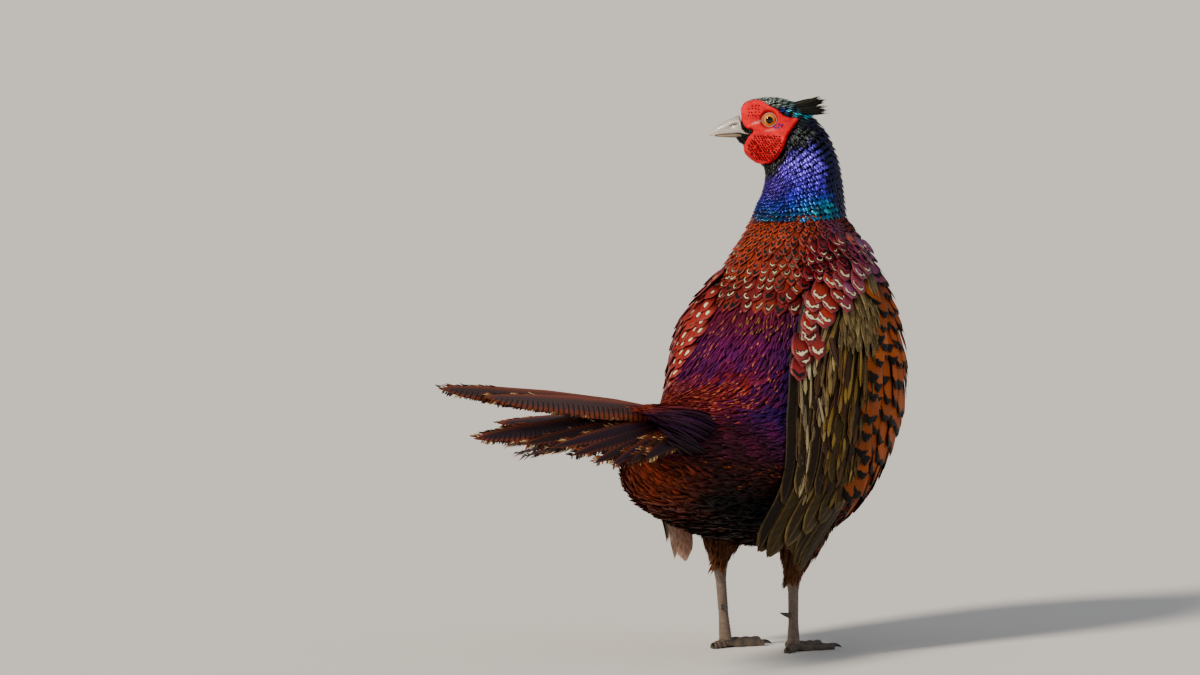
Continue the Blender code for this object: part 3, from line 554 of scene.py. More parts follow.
# Feather material: barbs run slanting from the shaft, the ground darkens to the root, and masks of the vane's
# own map draw what the look asks for. rim is 0 at the shaft's middle and 1 at the edge, round the tip as
# well.
def featherMaterial(name, sockets, look):
    look = {**featherLook, **look}
    material, tree, shader = newMaterial(name, **sockets)
    place = add(tree, "SeparateXYZ", add(tree, "UVMap vane"))
    across, along = place.outputs[0], place.outputs[1]
    signed = add(tree, "Math MULTIPLY_ADD", across, 2.0, -1.0)
    side = add(tree, "Math ABSOLUTE", signed)
    tip = add(tree, "MapRange", along, look["tipFrom"], 1.0)
    sideSquare = add(tree, "Math POWER", side, 2.0)
    tipSquare = add(tree, "Math POWER", tip, 2.0)
    rim = add(tree, "Math POWER", add(tree, "Math", sideSquare, tipSquare), 0.5)
    chance, marking = (add(tree, "Attribute " + key).outputs["Fac"] for key in ("chance", "marking"))
    ground, fringe, mark = (add(tree, "Attribute " + key) for key in ("ground", "fringe", "mark"))
    slant = add(tree, "Math MULTIPLY", side, -look["slant"])
    barb = add(tree, "Math SINE", add(tree, "Math MULTIPLY_ADD", along, look["barbs"], slant))
    spot = add(tree, "TexCoord").outputs["Object"]
    wobble = add(tree, "TexNoise", spot, Scale=look["grain"], Detail=2.0)
    rootShade = add(tree, "MapRange SMOOTHSTEP", along, *look["rootShade"], look["rootDark"], 1.0)
    rootShade = add(tree, "CombineXYZ", rootShade, rootShade, rootShade)
    colour = add(tree, "MixRGB MULTIPLY", 1.0, ground, rootShade)
    if "fringeFrom" in look:
        start = look["fringeFrom"]
        mask = add(tree, "MapRange SMOOTHSTEP", rim, start, start + look["fringeSoft"])
        colour = add(tree, "MixRGB", mask, colour, fringe)
    if "band" in look:  # a crescent parallel to the tip, outlined in black, ragged and a little to one side
        inner, outer, start, outline = look["band"]
        ragged = add(tree, "TexNoise", spot, Scale=look["raggedScale"], Detail=1.0)
        ragged = add(tree, "Math MULTIPLY_ADD", ragged, look["ragged"], -0.5 * look["ragged"])
        flat = add(tree, "Math MULTIPLY_ADD", sideSquare, look["sideShare"], tipSquare)
        flat = add(tree, "Math POWER", flat, 0.5)
        reach = add(tree, "Math", flat, add(tree, "Math MULTIPLY_ADD", chance, 0.16, -0.08))
        reach = add(tree, "Math", reach, ragged)
        skew = add(tree, "Math MULTIPLY_ADD", chance, look["skew"], -0.5 * look["skew"])
        aside = add(tree, "Math ABSOLUTE", add(tree, "Math", signed, skew))
        distal = add(tree, "MapRange SMOOTHSTEP", along, start, start + 0.08)
        narrow = add(tree, "MapRange SMOOTHSTEP", aside, look["bandSide"], look["bandSide"] + 0.1, 1.0, 0.0)
        shown = add(tree, "Math MULTIPLY", distal, narrow)
        middle = add(tree, "MapRange", aside, look["markSide"], look["markSide"] + 0.1, 1.0, 0.0)
        paleShown = add(tree, "Math MULTIPLY", add(tree, "Math MULTIPLY", middle, marking), shown)
        edges = (inner - outline, outer + outline, "#070404", shown), (inner, outer, mark, paleShown)
        for low, high, tint, amount in edges:
            enter = add(tree, "MapRange SMOOTHSTEP", reach, low - 0.03, low + 0.03)
            leave = add(tree, "MapRange SMOOTHSTEP", reach, high - 0.03, high + 0.03, 1.0, 0.0)
            mask = add(tree, "Math MULTIPLY", add(tree, "Math MULTIPLY", enter, leave), amount)
            colour = add(tree, "MixRGB", mask, colour, tint)
    if "streak" in look:  # pale shaft streak and edges
        inner, edge = look["streak"]
        middle = add(tree, "MapRange SMOOTHSTEP", side, inner, inner + 0.12, 1.0, 0.0)
        edges = add(tree, "MapRange SMOOTHSTEP", side, edge, edge + 0.08)
        both = add(tree, "Math MULTIPLY", add(tree, "Math MAXIMUM", middle, edges), marking)
        colour = add(tree, "MixRGB", both, colour, mark)
    # dark bars across the vane, bent back from the shaft; marking holds the length in bars
    if "bars" in look:
        bend, start, depth = look["bars"]
        wave = add(tree, "Math MULTIPLY_ADD", along, marking, add(tree, "Math MULTIPLY", side, -bend))
        mask = add(tree, "MapRange SMOOTHSTEP", add(tree, "Math FRACT", wave), start, start + 0.1, 0.0, depth)
        colour = add(tree, "MixRGB", mask, colour, mark)
    if "tipGlow" in look:  # brighter tip third, as structural colour shows where the vane faces out
        lit = add(tree, "MapRange SMOOTHSTEP", along, *look["tipGlow"])
        colour = add(tree, "MixRGB", lit, colour, fringe)
    lines = add(tree, "MapRange", barb, -1.0, 1.0, look["barbDark"], 1.0)
    shade = add(tree, "Math MULTIPLY", lines, add(tree, "MapRange", wobble, 0.3, 0.7, 0.8, 1.15))
    colour = add(tree, "MixRGB MULTIPLY", 1.0, colour, add(tree, "CombineXYZ", shade, shade, shade))
    shaft = add(tree, "MapRange", side, 0.02, 0.12, 1.0, 0.0)
    height = add(tree, "Math MULTIPLY_ADD", shaft, 0.6, add(tree, "Math MULTIPLY", barb, 0.25))
    finishMaterial(tree, shader, colour, height, look["bump"], 0.0004)
    return material


rounded = ([0, 0.25, 0.55, 0.8, 0.93, 1.0], [0.55, 0.9, 1.0, 0.9, 0.68, 0.34])
pointed = ([0, 0.25, 0.5, 0.75, 1.0], [0.5, 1.0, 0.95, 0.6, 0.12])
broad = ([0, 0.25, 0.55, 0.8, 0.93, 1.0], [0.55, 0.9, 1.0, 1.0, 0.88, 0.56])
blunt = ([0, 0.2, 0.6, 0.9, 1.0], [0.6, 0.9, 1.0, 0.9, 0.5])
stroked = ([0, 0.3, 0.6, 0.9, 1.0], [0.2, 0.5, 0.85, 0.95, 0.45])

satin = {"Roughness": 0.42, "Metallic": 0.1, "Specular IOR Level": 0.3}
matt = {"Roughness": 0.6, "Specular IOR Level": 0.15}

# Each feather material's name, finish and look, and what it gives the eye
feathers = {
    # glossy copper contour feathers, a satin sheen over a fine weave of barbs
    "mantle": ("copperContourFeather", satin, {
        "band": (0.40, 0.54, 0.50, 0.13), "sideShare": 0.75, "bandSide": 0.60, "markSide": 0.46,
        "ragged": 0.4, "skew": 0.8, "fringeFrom": 0.72, "fringeSoft": 0.25, "barbs": 70.0, "rootDark": 0.25,
    }),
    # larger maroon feathers with a cream horseshoe outlined black and a pinkish rim
    "scapular": ("maroonScapularFeather", satin, {
        "band": (0.40, 0.56, 0.54, 0.08), "bandSide": 0.74, "markSide": 0.68, "sideShare": 0.45, "skew": 0.6,
        "fringeFrom": 0.72, "fringeSoft": 0.3, "barbs": 80.0, "rootDark": 0.30,
    }),
    # red feathers with a long cream drop down the middle
    "teardrop": ("redTeardropFeather", satin, {
        "band": (-0.5, 0.30, 0.40, 0.10), "bandSide": 0.36, "markSide": 0.28, "fringeFrom": 0.72,
        "fringeSoft": 0.3, "barbs": 80.0, "rootDark": 0.35,
    }),
    # golden chestnut with a black crescent across the tip
    "flank": ("chestnutFlankFeather", {"Roughness": 0.6, "Specular IOR Level": 0.1}, {
        "band": (0.62, 1.8, 0.56, 0.0), "bandSide": 1.0, "sideShare": 0.02, "ragged": 0.24, "barbs": 80.0,
        "rootDark": 0.30, "tipFrom": 0.45,
    }),
    # loose hair-like feathers, no crisp marks, tips of another colour
    "hair": ("looseRumpFeather", {"Roughness": 0.6, "Specular IOR Level": 0.2}, {
        "tipGlow": (0.82, 0.92), "barbs": 20.0, "slant": 34.0, "barbDark": 0.82, "rootDark": 0.7, "bump": 0.4,
    }),
    # small scaly feathers whose tips glow with structural colour, near black between
    "neck": ("iridescentNeckFeather", {"Roughness": 0.30, "Metallic": 0.55}, {
        "tipGlow": (0.30, 0.65), "barbs": 22.0, "rootDark": 0.2, "rootShade": (0.2, 0.7),
    }),
    # dark wing feathers with a broad straw stroke down the middle
    "covert": ("strawStrokedCovert", matt, {
        "streak": (0.46, 2.0), "fringeFrom": 0.88, "tipFrom": 0.80, "barbs": 120.0, "rootDark": 0.5,
        "grain": 500.0,
    }),
    # dull olive-brown quills with a thin pale shaft and paler edges
    "flight": ("oliveFlightFeather", matt, {
        "streak": (0.02, 2.0), "fringeFrom": 0.78, "fringeSoft": 0.4, "tipFrom": 0.86, "barbs": 120.0,
        "rootDark": 0.5, "grain": 500.0,
    }),
    # long olive-brown tail feathers with slanting dark bars
    "tail": ("barredTailFeather", {"Roughness": 0.5, "Specular IOR Level": 0.2}, {
        "bars": (1.7, 0.64, 0.94), "fringeFrom": 0.30, "fringeSoft": 0.55, "barbs": 420.0, "slant": 26.0,
        "rootDark": 0.8, "tipFrom": 0.9,
    }),
}
feathers = {kind: featherMaterial(*row) for kind, row in feathers.items()}
print("feather materials made")

# The photograph's camera: 30 degrees round from behind to the bird's right, 5 degrees up, a long lens
cameraLook = {
    "azimuth": 30.0, "elevation": 5.0, "distance": 12000.0, "lens": 439.02, "aimRight": -128.74,
    "aimUp": 256.25,
}
azimuth, elevation = math.radians(cameraLook["azimuth"]), math.radians(cameraLook["elevation"])
level = np.array([math.sin(azimuth), -math.cos(azimuth), 0.0])
toward = level * math.cos(elevation) + up * math.sin(elevation)
rightward = np.array([math.cos(azimuth), math.sin(azimuth), 0.0])
upward = np.cross(toward, rightward)
aim = rightward * cameraLook["aimRight"] + upward * cameraLook["aimUp"]
camera = bpy.data.objects.new("camera", bpy.data.cameras.new("camera"))
bpy.context.scene.collection.objects.link(camera)
camera.data.lens = cameraLook["lens"]
camera.data.sensor_width = 36.0
camera.data.clip_start = 1.0
camera.data.clip_end = 200.0
camera.location = Vector((aim + toward * cameraLook["distance"] + rowShift) * millimetre)
camera.rotation_mode = "QUATERNION"
camera.rotation_quaternion = Vector(-toward).to_track_quat("-Z", "Y")
bpy.context.scene.camera = camera

# Plain pale floor, a broad soft key light from the upper left behind the camera, and a pale surround
studio = {"floorHalf": 60.0, "keyStrength": 3.8, "keySoftness": 10.0, "surround": 0.36, "fillStrength": 0.35}
floorMaterial, tree, shader = newMaterial("paleStudioFloor", Roughness=0.9)
floorNoise = add(tree, "TexNoise", add(tree, "TexCoord").outputs["Object"], Scale=3.0, Detail=3.0)
finishMaterial(tree, shader, add(tree, "MixRGB", floorNoise, "#EFEDE8", "#F2F0EC"))
floorMesh = bpy.data.meshes.new("floor")
reach = studio["floorHalf"]
floorMesh.from_pydata(
    [(-reach, -reach, 0), (reach, -reach, 0), (reach, reach, 0), (-reach, reach, 0)], [], [(0, 1, 2, 3)],
)
floorMesh.materials.append(floorMaterial)
floor = bpy.data.objects.new("floor", floorMesh)
bpy.context.scene.collection.objects.link(floor)


def sunLight(name, source, strength, softness, tint):
    light = bpy.data.lights.new(name, "SUN")
    light.energy = strength
    light.angle = math.radians(softness)
    light.color = hexColour(tint)
    lamp = bpy.data.objects.new(name, light)
    bpy.context.scene.collection.objects.link(lamp)
    lamp.rotation_mode = "QUATERNION"
    lamp.rotation_quaternion = Vector(source).to_track_quat("Z", "Y")
    return lamp


sunLight(
    "keyLight", toward * 0.62 - rightward * 0.62 + up * 0.55, studio["keyStrength"], studio["keySoftness"],
    "#FFF2DE",
)
sunLight("fillLight", toward * 0.3 + rightward * 0.8 + up * 0.5, studio["fillStrength"], 60.0, "#E6EEFF")
world = bpy.data.worlds.new("paleSurround")
world.use_nodes = True
world.node_tree.nodes["Background"].inputs["Color"].default_value = (*hexColour("#E4E6EA"), 1.0)
world.node_tree.nodes["Background"].inputs["Strength"].default_value = studio["surround"]
bpy.context.scene.world = world
print("camera, floor and lights made")


# Signed distance in the plane from points to a closed outline, positive inside: the nearest of its edges, and
# the sign from how many edges a ray crosses
def insideBy(points, outline):
    start = outline
    edge = np.roll(outline, -1, axis=0) - outline
    offset = points[..., None, :] - start
    share = np.clip((offset * edge).sum(-1) / (edge * edge).sum(-1), 0, 1)
    distance = np.linalg.norm(offset - share[..., None] * edge, axis=-1).min(axis=-1)
    y = points[..., None, 1]
    above = (start[:, 1] > y) != (start[:, 1] + edge[:, 1] > y)
    crossing = (
        start[:, 0] + edge[:, 0] * (y - start[:, 1]) / np.where(np.abs(edge[:, 1]) < 1e-9, 1e-9, edge[:, 1])
    )
    crosses = above & (points[..., None, 0] < crossing)
    return np.where(crosses.sum(-1) % 2 == 1, distance, -distance)


# The bare red face, (forward, up) round its rim
wattleOutline = np.array([
    (23.0, 2.0), (22.8, 6.4), (20.5, 11.7), (15.6, 14.9), (10.1, 16.0), (4.6, 14.9), (1.2, 12.4),
    (-3.0, 10.2), (-7.6, 7.8), (-10.2, 5.0), (-14.0, 3.0), (-18.6, 2.0), (-24.0, 1.2), (-20.7, -3.9),
    (-17.5, -8.5), (-14.7, -13.1), (-12.9, -18.7), (-10.1, -25.1), (-6.0, -31.1), (-0.9, -35.3), (5.6, -37.0),
    (12.0, -35.0), (16.6, -30.8), (19.4, -25.0), (19.5, -19.4), (17.4, -14.4), (13.9, -10.2), (14.4, -7.6),
    (17.6, -7.6), (20.6, -5.8), (22.2, -2.2),
])
wattleRim = smoothRows(np.concatenate([wattleOutline, wattleOutline[:1]]), np.linspace(0, 31, 156)[:-1])

# Where the neck shines violet and blue, (forward, up): below the black ear patch and short of the nape, left
# near black as painted shade on the side turned from the light
glossOutline = np.array([
    (22.0, -44.0), (-1.8, -42.6), (-6.5, -38.4), (-11.1, -30.6), (-14.7, -23.8), (-28.5, -21.4),
    (-36.8, -15.5), (-43.0, -27.0), (-47.4, -44.0), (-49.5, -58.0), (-56.0, -72.0), (-62.0, -100.0),
    (30.0, -110.0),
])


def headFlat(points):
    local = points - headAt
    return np.stack([local @ headForward, local @ up], axis=-1)


# Skin colours by place: head and neck by ring and angle, then the torso's own
def neckColour(place, angle):
    turned = fromBack(angle)
    colour = ramp(
        place, [0, 4.5, 6.0, 7.6, 9.5, 11.0, 12.2, 13.2],
        "#0C1210 #0E2A26 #10202A #100A4A #1A1078 #0E1270 #061C58 #062C48",
    )
    # painted shade: the nape, turned from the light, darkened to near black
    return blend(colour, "#05060E", 0.85 * ease(turned, 55, 12) * ease(place, 5, 7))


def torsoColour(place, angle):
    mantle = ramp(place, [0, 2.0, 4.0], "#7A2408 #5A1408 #4A0C10")
    rump = ramp(place, [4.5, 8.5, 11.5, 15], "#3A0828 #2A0838 #3A0C20 #5A1A10")
    back = blend(mantle, rump, ease(place, 3.9, 4.7))
    belly = ramp(place, [0, 5, 8, 11, 16], "#5A1C08 #6A2A08 #5A2208 #140806 #4A1408")
    return blend(back, belly, ease(fromBack(angle), 70, 95))


# Skin under the feathers: matt, dark and finely mottled
skinMaterial, tree, shader = newMaterial("downySkin", Roughness=0.8)
noise = add(tree, "TexNoise", add(tree, "TexCoord").outputs["Object"], Scale=500.0, Detail=3.0)
shade = add(tree, "MapRange", noise, 0.3, 0.7, 0.25, 0.5)
colour = add(tree, "MixRGB MULTIPLY", 1.0, add(tree, "Attribute ground"), shade)
finishMaterial(tree, shader, colour, noise, 0.6, 0.001)

skinLook = {
    "around": 112, "headRings": 70, "torsoRings": 110, "headDepth": 1.6, "neckDepth": 2.2,
    "torsoDepth": ([0, 2, 6, 14, 16], [2.2, 3.0, 5.0, 5.0, 3.0]),
}


def makeSkin():
    around = skinLook["around"]
    step = circle(around)
    places = np.linspace(-0.15, 12.6, skinLook["headRings"])[:, None]
    angle = np.broadcast_to(step, (len(places), around))
    point, normal = frameAt(*surfaces["head"], places, angle)
    depth = skinLook["headDepth"] + (skinLook["neckDepth"] - skinLook["headDepth"]) * ease(places, 6, 9)
    headPart = point - normal * depth[..., None]
    headTint = neckColour(places + 0 * angle, angle)
    places = np.linspace(0.25, 16.0, skinLook["torsoRings"])[:, None]
    angle = np.broadcast_to(120 * degree - step, (len(places), around))
    point, normal = frameAt(*surfaces["torso"], places, angle)
    depth = np.interp(places, *skinLook["torsoDepth"])
    rings = np.concatenate([headPart, point - normal * depth[..., None]])
    tint = np.concatenate([headTint, torsoColour(places + 0 * angle, angle)])
    tubes = [(rings, tint, False, (0.01, 0.99 - 0.98 / around), (0.01, 0.79), (0.5, 0.005, 0.795))]
    for side, left in ((-1, 0.01), (1, 0.51)):
        tint = hexColour("#2A1008")
        tubes.append((thighRings(side), tint, False, (left, left + 0.47), (0.82, 0.99), (left, 0.81, 0.995)))
    skin = tubesPiece("skin", skinMaterial, tubes)
    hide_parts("head", "neck", "torso", "thigh_left", "thigh_right")


# Hip, hock and foot of one leg
def legPoints(side):
    hock = np.array([-31.0, -8.0, 73.0]) if side < 0 else np.array([35.0, -2.0, 64.0])
    return np.array([side * 38.0, 12.0, 128.0]), hock, np.array([side * 32.0, 4.0, 7.0])


def thighLine(side, share):
    hip, hock, _ = legPoints(side)
    line = hip + (hock + np.array([0.0, -1.0, -1.0]) - hip) * share[..., None]
    line[..., 1] += 6.0 * np.sin(math.pi * share)
    return line


# A tapered tube round the thigh's line; u is how far down it, v the angle
def thighSurface(side):
    def surface(u, v):
        line = thighLine(side, np.asarray(u, float))
        radius = np.interp(u, [0, 0.3, 0.6, 0.85, 1.0, 1.2], [27, 25, 19, 11, 6.5, 5])[..., None]
        return line + radius * np.stack([np.sin(v), -np.cos(v), 0 * v], -1)
    return surface


def thighRings(side):
    share = np.linspace(0, 1, 24)[:, None]
    angle = circle(28)[None]
    point, normal = frameAt(thighSurface(side), 1, share + 0 * angle, angle + 0 * share)
    rings = point - normal * 2.0
    return rings[:, ::-1]


surfaces["rightThigh"] = (thighSurface(1), 1)
surfaces["leftThigh"] = (thighSurface(-1), 1)
makeSkin()
print("skin made")

headCoatLook = {
    "rows": 4, "columns": 3, "length": 6.0, "half": 1.25, "root": -1.5, "tip": 0.45, "profile": rounded,
    "camber": 0.25, "fray": 0.06, "round": 0.2, "span": ((-0.5, 14), (0, 2 * math.pi)),
}
neckCoatLook = {**headCoatLook, "length": 7.5, "half": 1.9, "root": -2.0, "tip": 0.9, "climb": 1.0}


# The neck's structural colour at each place, violet above to blue and teal at its base, and how far it shows
def neckGloss(flat, draw):
    number = len(flat)
    rise = flat[:, 1] + draw.normal(0, 2.0, number)
    tint = blend(
        ramp(
            rise, [-80, -73, -66, -57, -48, -34, -22],
            "#06405C #0A3C88 #1424A8 #2A1AB4 #5838E0 #7456F4 #4A38B8",
        ),
        "#4A1C8C", 0.7 * ease(flat[:, 0], -24, -4) * ease(-rise, 30, 42) * ease(-rise, 68, 58),
    )
    teal = np.exp(-(((flat[:, 0] + 46) / 15) ** 2) - ((flat[:, 1] + 71) / 7) ** 2)
    tint = blend(
        tint,
        "#10A0B4", np.clip(teal * draw.uniform(0.4, 1.3, number), 0, 1),
        "#140C50", (draw.uniform(size=number) < 0.28) * 0.65,
    )
    return tint, ease(insideBy(flat, glossOutline) + draw.normal(0, 1.2, number), -1.5, 2.0)


def makeHeadCoat():
    u, v = layOut(
        "head", (0.05, 9.4), (0, 2 * math.pi), ([0, 3, 9.4], [1.5, 1.7, 2.3], [1.5, 1.8, 2.2]), seed=11,
    )
    keep = (
        (insideBy(headFlat(headSurface(u, v)), wattleRim) < 2.2)
        & (u < 7.7 + 1.7 * default_rng(10).uniform(size=len(u)))
    )
    u, v = u[keep], v[keep]
    flat = headFlat(headSurface(u + 0.4, v))  # coloured by where each tip lies
    draw = default_rng(12)
    size = np.interp(u, [0, 2, 8], [0.6, 0.8, 1.15])
    turned = fromBack(v)
    loose = 0.15 + 0.85 * ease(turned, 30, 60)  # crown and nape lie sleek
    look = {
        **headCoatLook, "length": (7.0 + 1.5 * (1 - loose)) * size, "half": (0.75 + 0.2 * loose) * size,
        "tilt": draw.normal(0, 0.12, len(u)) * loose,
        "lean": draw.normal(0, 0.08, len(u)) * loose,
        "tip": 0.15 + (0.25 + draw.normal(0, 0.08, len(u))) * loose,
    }
    batch = featherCoat("head", u, v, look, seed=13)
    crown = ramp(u, [0, 2.5, 5, 7], "#0A0E0C #101C18 #18302C #04080C")
    # the crown's tips carry a painted silver-green highlight over their dark green, dulled at random
    glint = ramp(u, [0, 2.0, 4.6, 5.6, 6.6, 8.6], "#101C18 #8FA8A0 #B8CCC4 #3A6A70 #0A1C28 #06080E")
    dull = draw.uniform(0.0, 0.6, len(u))
    glint = blend(glint, crown, dull)
    # black ear coverts with a painted silvery sheen, violet below them and a teal strip over them
    lower = ramp(flat[:, 1], [-30, -6, 4], "#050508 #0C1010 #061828")
    lowerTip = blend(
        ramp(flat[:, 1], [-23, -19, -12, -6, -1], "#08080E #3C4446 #8A9694 #5A6A66 #06101C"),
        lower, np.clip(dull * 1.6, 0, 1),
    )
    # throat and the band behind the wattle stay black
    front = ease(flat[:, 0], -13, -8) * ease(flat[:, 1], 6, 0)
    lowerTip = blend(lowerTip, "#06060C", front)
    share = ease(turned, 34, 50)
    tip = blend(glint, lowerTip, share)
    strip = (
        ease(flat[:, 0], -44, -38) * ease(flat[:, 0], -6, -10)
        * bell(flat[:, 1] - 5.4 - 0.16 * (flat[:, 0] + 26), 3.0)
    )
    blue = blend("#18D0F0", "#0C3490", ease(flat[:, 0] + draw.normal(0, 1.5, len(u)), -20, -15))
    tip = blend(tip, blue, np.clip(strip * draw.uniform(0.6, 1.4, len(u)), 0, 1))
    # painted shade: the nape, turned from the light, darkened to navy
    nape = ease(turned, 60, 20) * ease(-flat[:, 0], 36, 44)
    tip = blend(tip, "#0A1244", nape)
    gloss, shown = neckGloss(flat, draw)
    tip = blend(tip, gloss, shown)
    paint(batch, blend(crown, lower, share), fringe=tip, seed=14, vary=0.2)
    coatPiece("headCoat", "neck", [batch])


def makeNeckCoat():
    u, v = layOut(
        "head", (7.5, 12.6), (0, 2 * math.pi), ([8, 10.5, 13], [2.1, 2.7, 4.2], [1.8, 2.3, 3.2]), seed=21,
        jitter=0.08,
    )
    draw = default_rng(22)
    turned = fromBack(v)
    size = np.interp(u, [8, 10.5, 13], [0.88, 1.12, 1.5])
    smooth = ease(turned, 30, 80)  # the nape lies sleek
    look = {
        **neckCoatLook, "columns": 5, "length": 6.2 * size,
        "half": np.interp(u, [8, 10.5, 13], [1.6, 2.3, 3.5]),
        "tilt": draw.normal(0, 0.14, len(u)) * smooth, "lean": draw.normal(0, 0.08, len(u)) * smooth,
        "tip": 0.25 + smooth * (0.5 + draw.normal(0, 0.12, len(u))) + 0.7 * ease(u, 11.6, 12.4),
    }
    batch = featherCoat("head", u, v, look, seed=23)
    gloss, shown = neckGloss(headFlat(headSurface(u + 0.3, v)), draw)
    # near black to navy outside the gloss; on the nape this is painted shade on the side turned from the
    # light
    paint(
        batch, blend("#04050A", neckColour(u, v), shown),
        fringe=blend(
            blend("#06060C", "#0C1048", np.maximum(ease(u, 8.2, 9.4), ease(turned, 60, 20))), gloss, shown,
        ),
        seed=24, vary=0.3,
    )
    coatPiece("neckCoat", "neck", [batch])


makeHeadCoat()
makeNeckCoat()

# Bare red skin: one dense patch of the head's surface, raised inside the outline and sunk below the feathers
# outside it. It swells at the hanging cheek and the brow, dips round the eye and carries small warts.
wattleLook = {
    "rows": 150, "columns": 130, "swell": 1.5, "cheek": 2.4, "brow": 1.0, "wart": 0.20, "wartGap": 2.1,
    "sunk": -2.4, "depth": 3.4,
}


def wattleHeight(flat, inside):
    forward, rise = flat[..., 0], flat[..., 1]
    cheek = bell(rise + 22, 11)
    brow = bell(rise - 8, 6)
    height = wattleLook["swell"] + wattleLook["cheek"] * cheek + wattleLook["brow"] * brow
    fromEye = np.hypot(forward, rise)
    height = height + 0.16 * np.sin(fromEye * 2 * math.pi / 2.6) * bell(fromEye - 9, 3.5)
    warts = (
        np.sin(forward * 2 * math.pi / wattleLook["wartGap"] + np.sin(rise * 1.3))
        * np.sin(rise * 2 * math.pi / wattleLook["wartGap"] + np.sin(forward * 1.1))
    )
    height = height + wattleLook["wart"] * warts
    crease = np.abs((rise + 2.2) + (forward - 8) * 0.18)  # the fold from the nostril to the eye
    height = height - 0.8 * bell(crease, 0.8) * ease(forward, 5, 8) * ease(forward, 20, 17)
    gape = np.abs((rise + 9.5) - (forward - 8) * 0.10)  # the fold between brow and cheek
    height = height - 0.7 * bell(gape, 1.0) * ease(forward, 4, 10)
    height = wattleLook["sunk"] + (height - wattleLook["sunk"]) * ease(fromEye, 5.4, 8.2)
    return wattleLook["sunk"] + (height - wattleLook["sunk"]) * ease(inside, -0.9, 1.9) ** 0.6


def makeWattle(side, word):
    rows, columns = wattleLook["rows"], wattleLook["columns"]
    place, angle = np.meshgrid(
        np.linspace(-0.3, 7.6, rows), np.linspace(6, 174, columns) * degree * side, indexing="ij",
    )
    point, normal = frameAt(*surfaces["head"], place, angle)
    flat = headFlat(point)
    inside = insideBy(flat, wattleRim)
    top = point + normal * wattleHeight(flat, inside)[..., None]
    points = np.stack([top, point - normal * wattleLook["depth"]]).reshape(-1, 3)
    faces = sheetFaces(rows, columns)[:, ::side]
    red = blend("#F20820", "#DC0418", ease(patches(point, 9, 4), -0.6, 0.8))
    forward, rise = flat[..., 0], flat[..., 1]
    line = bell(rise + 0.6 + 0.3 * (forward - 5.5), 0.8) * ease(forward, 5.5, 7) * ease(forward, 15, 12)
    below = bell(rise + 8.2 + 0.2 * forward, 0.9) * ease(forward, -8.5, -6.5) * ease(forward, 5, 1)
    red = blend(
        red, "#F8C4BC", np.clip((0.85 * line + 0.35 * below) * (0.75 + 0.4 * patches(point, 2.2, 9)), 0, 0.9),
    )
    tint = blend("#140404", red, ease(inside, -0.2, 0.35)).reshape(-1, 3)
    unwrap = np.stack([
        np.interp(angle, sorted([6 * degree * side, 174 * degree * side]), [0.01, 0.49]),
        np.interp(place, [-0.3, 7.6], [0.01, 0.99]),
    ], -1).reshape(-1, 2)
    unwrap = np.concatenate([unwrap, unwrap + [0.5, 0.0]])
    wattle = meshPiece(
        "wattle" + word, points, [faces], wattleMaterial, {"OFBake": unwrap},
        {"ground": np.tile(tint, (2, 1))},
    )
    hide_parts("wattle_" + word.lower())


# Bare warty skin: matt and finely grained, with blood-red mottling
wattleMaterial, tree, shader = newMaterial("bareRedSkin", **{"Roughness": 0.6, "Specular IOR Level": 0.12})
spot = add(tree, "TexCoord").outputs["Object"]
shade = add(tree, "MapRange", add(tree, "TexNoise", spot, Scale=260.0, Detail=3.0), 0.3, 0.7, 0.72, 1.15)
shade = add(tree, "CombineXYZ", shade, shade, shade)
colour = add(tree, "MixRGB MULTIPLY", 1.0, add(tree, "Attribute ground"), shade)
finishMaterial(tree, shader, colour, add(tree, "TexVoronoi", spot, Scale=900.0), 0.5, 0.0004)
makeWattle(1, "Left")
makeWattle(-1, "Right")


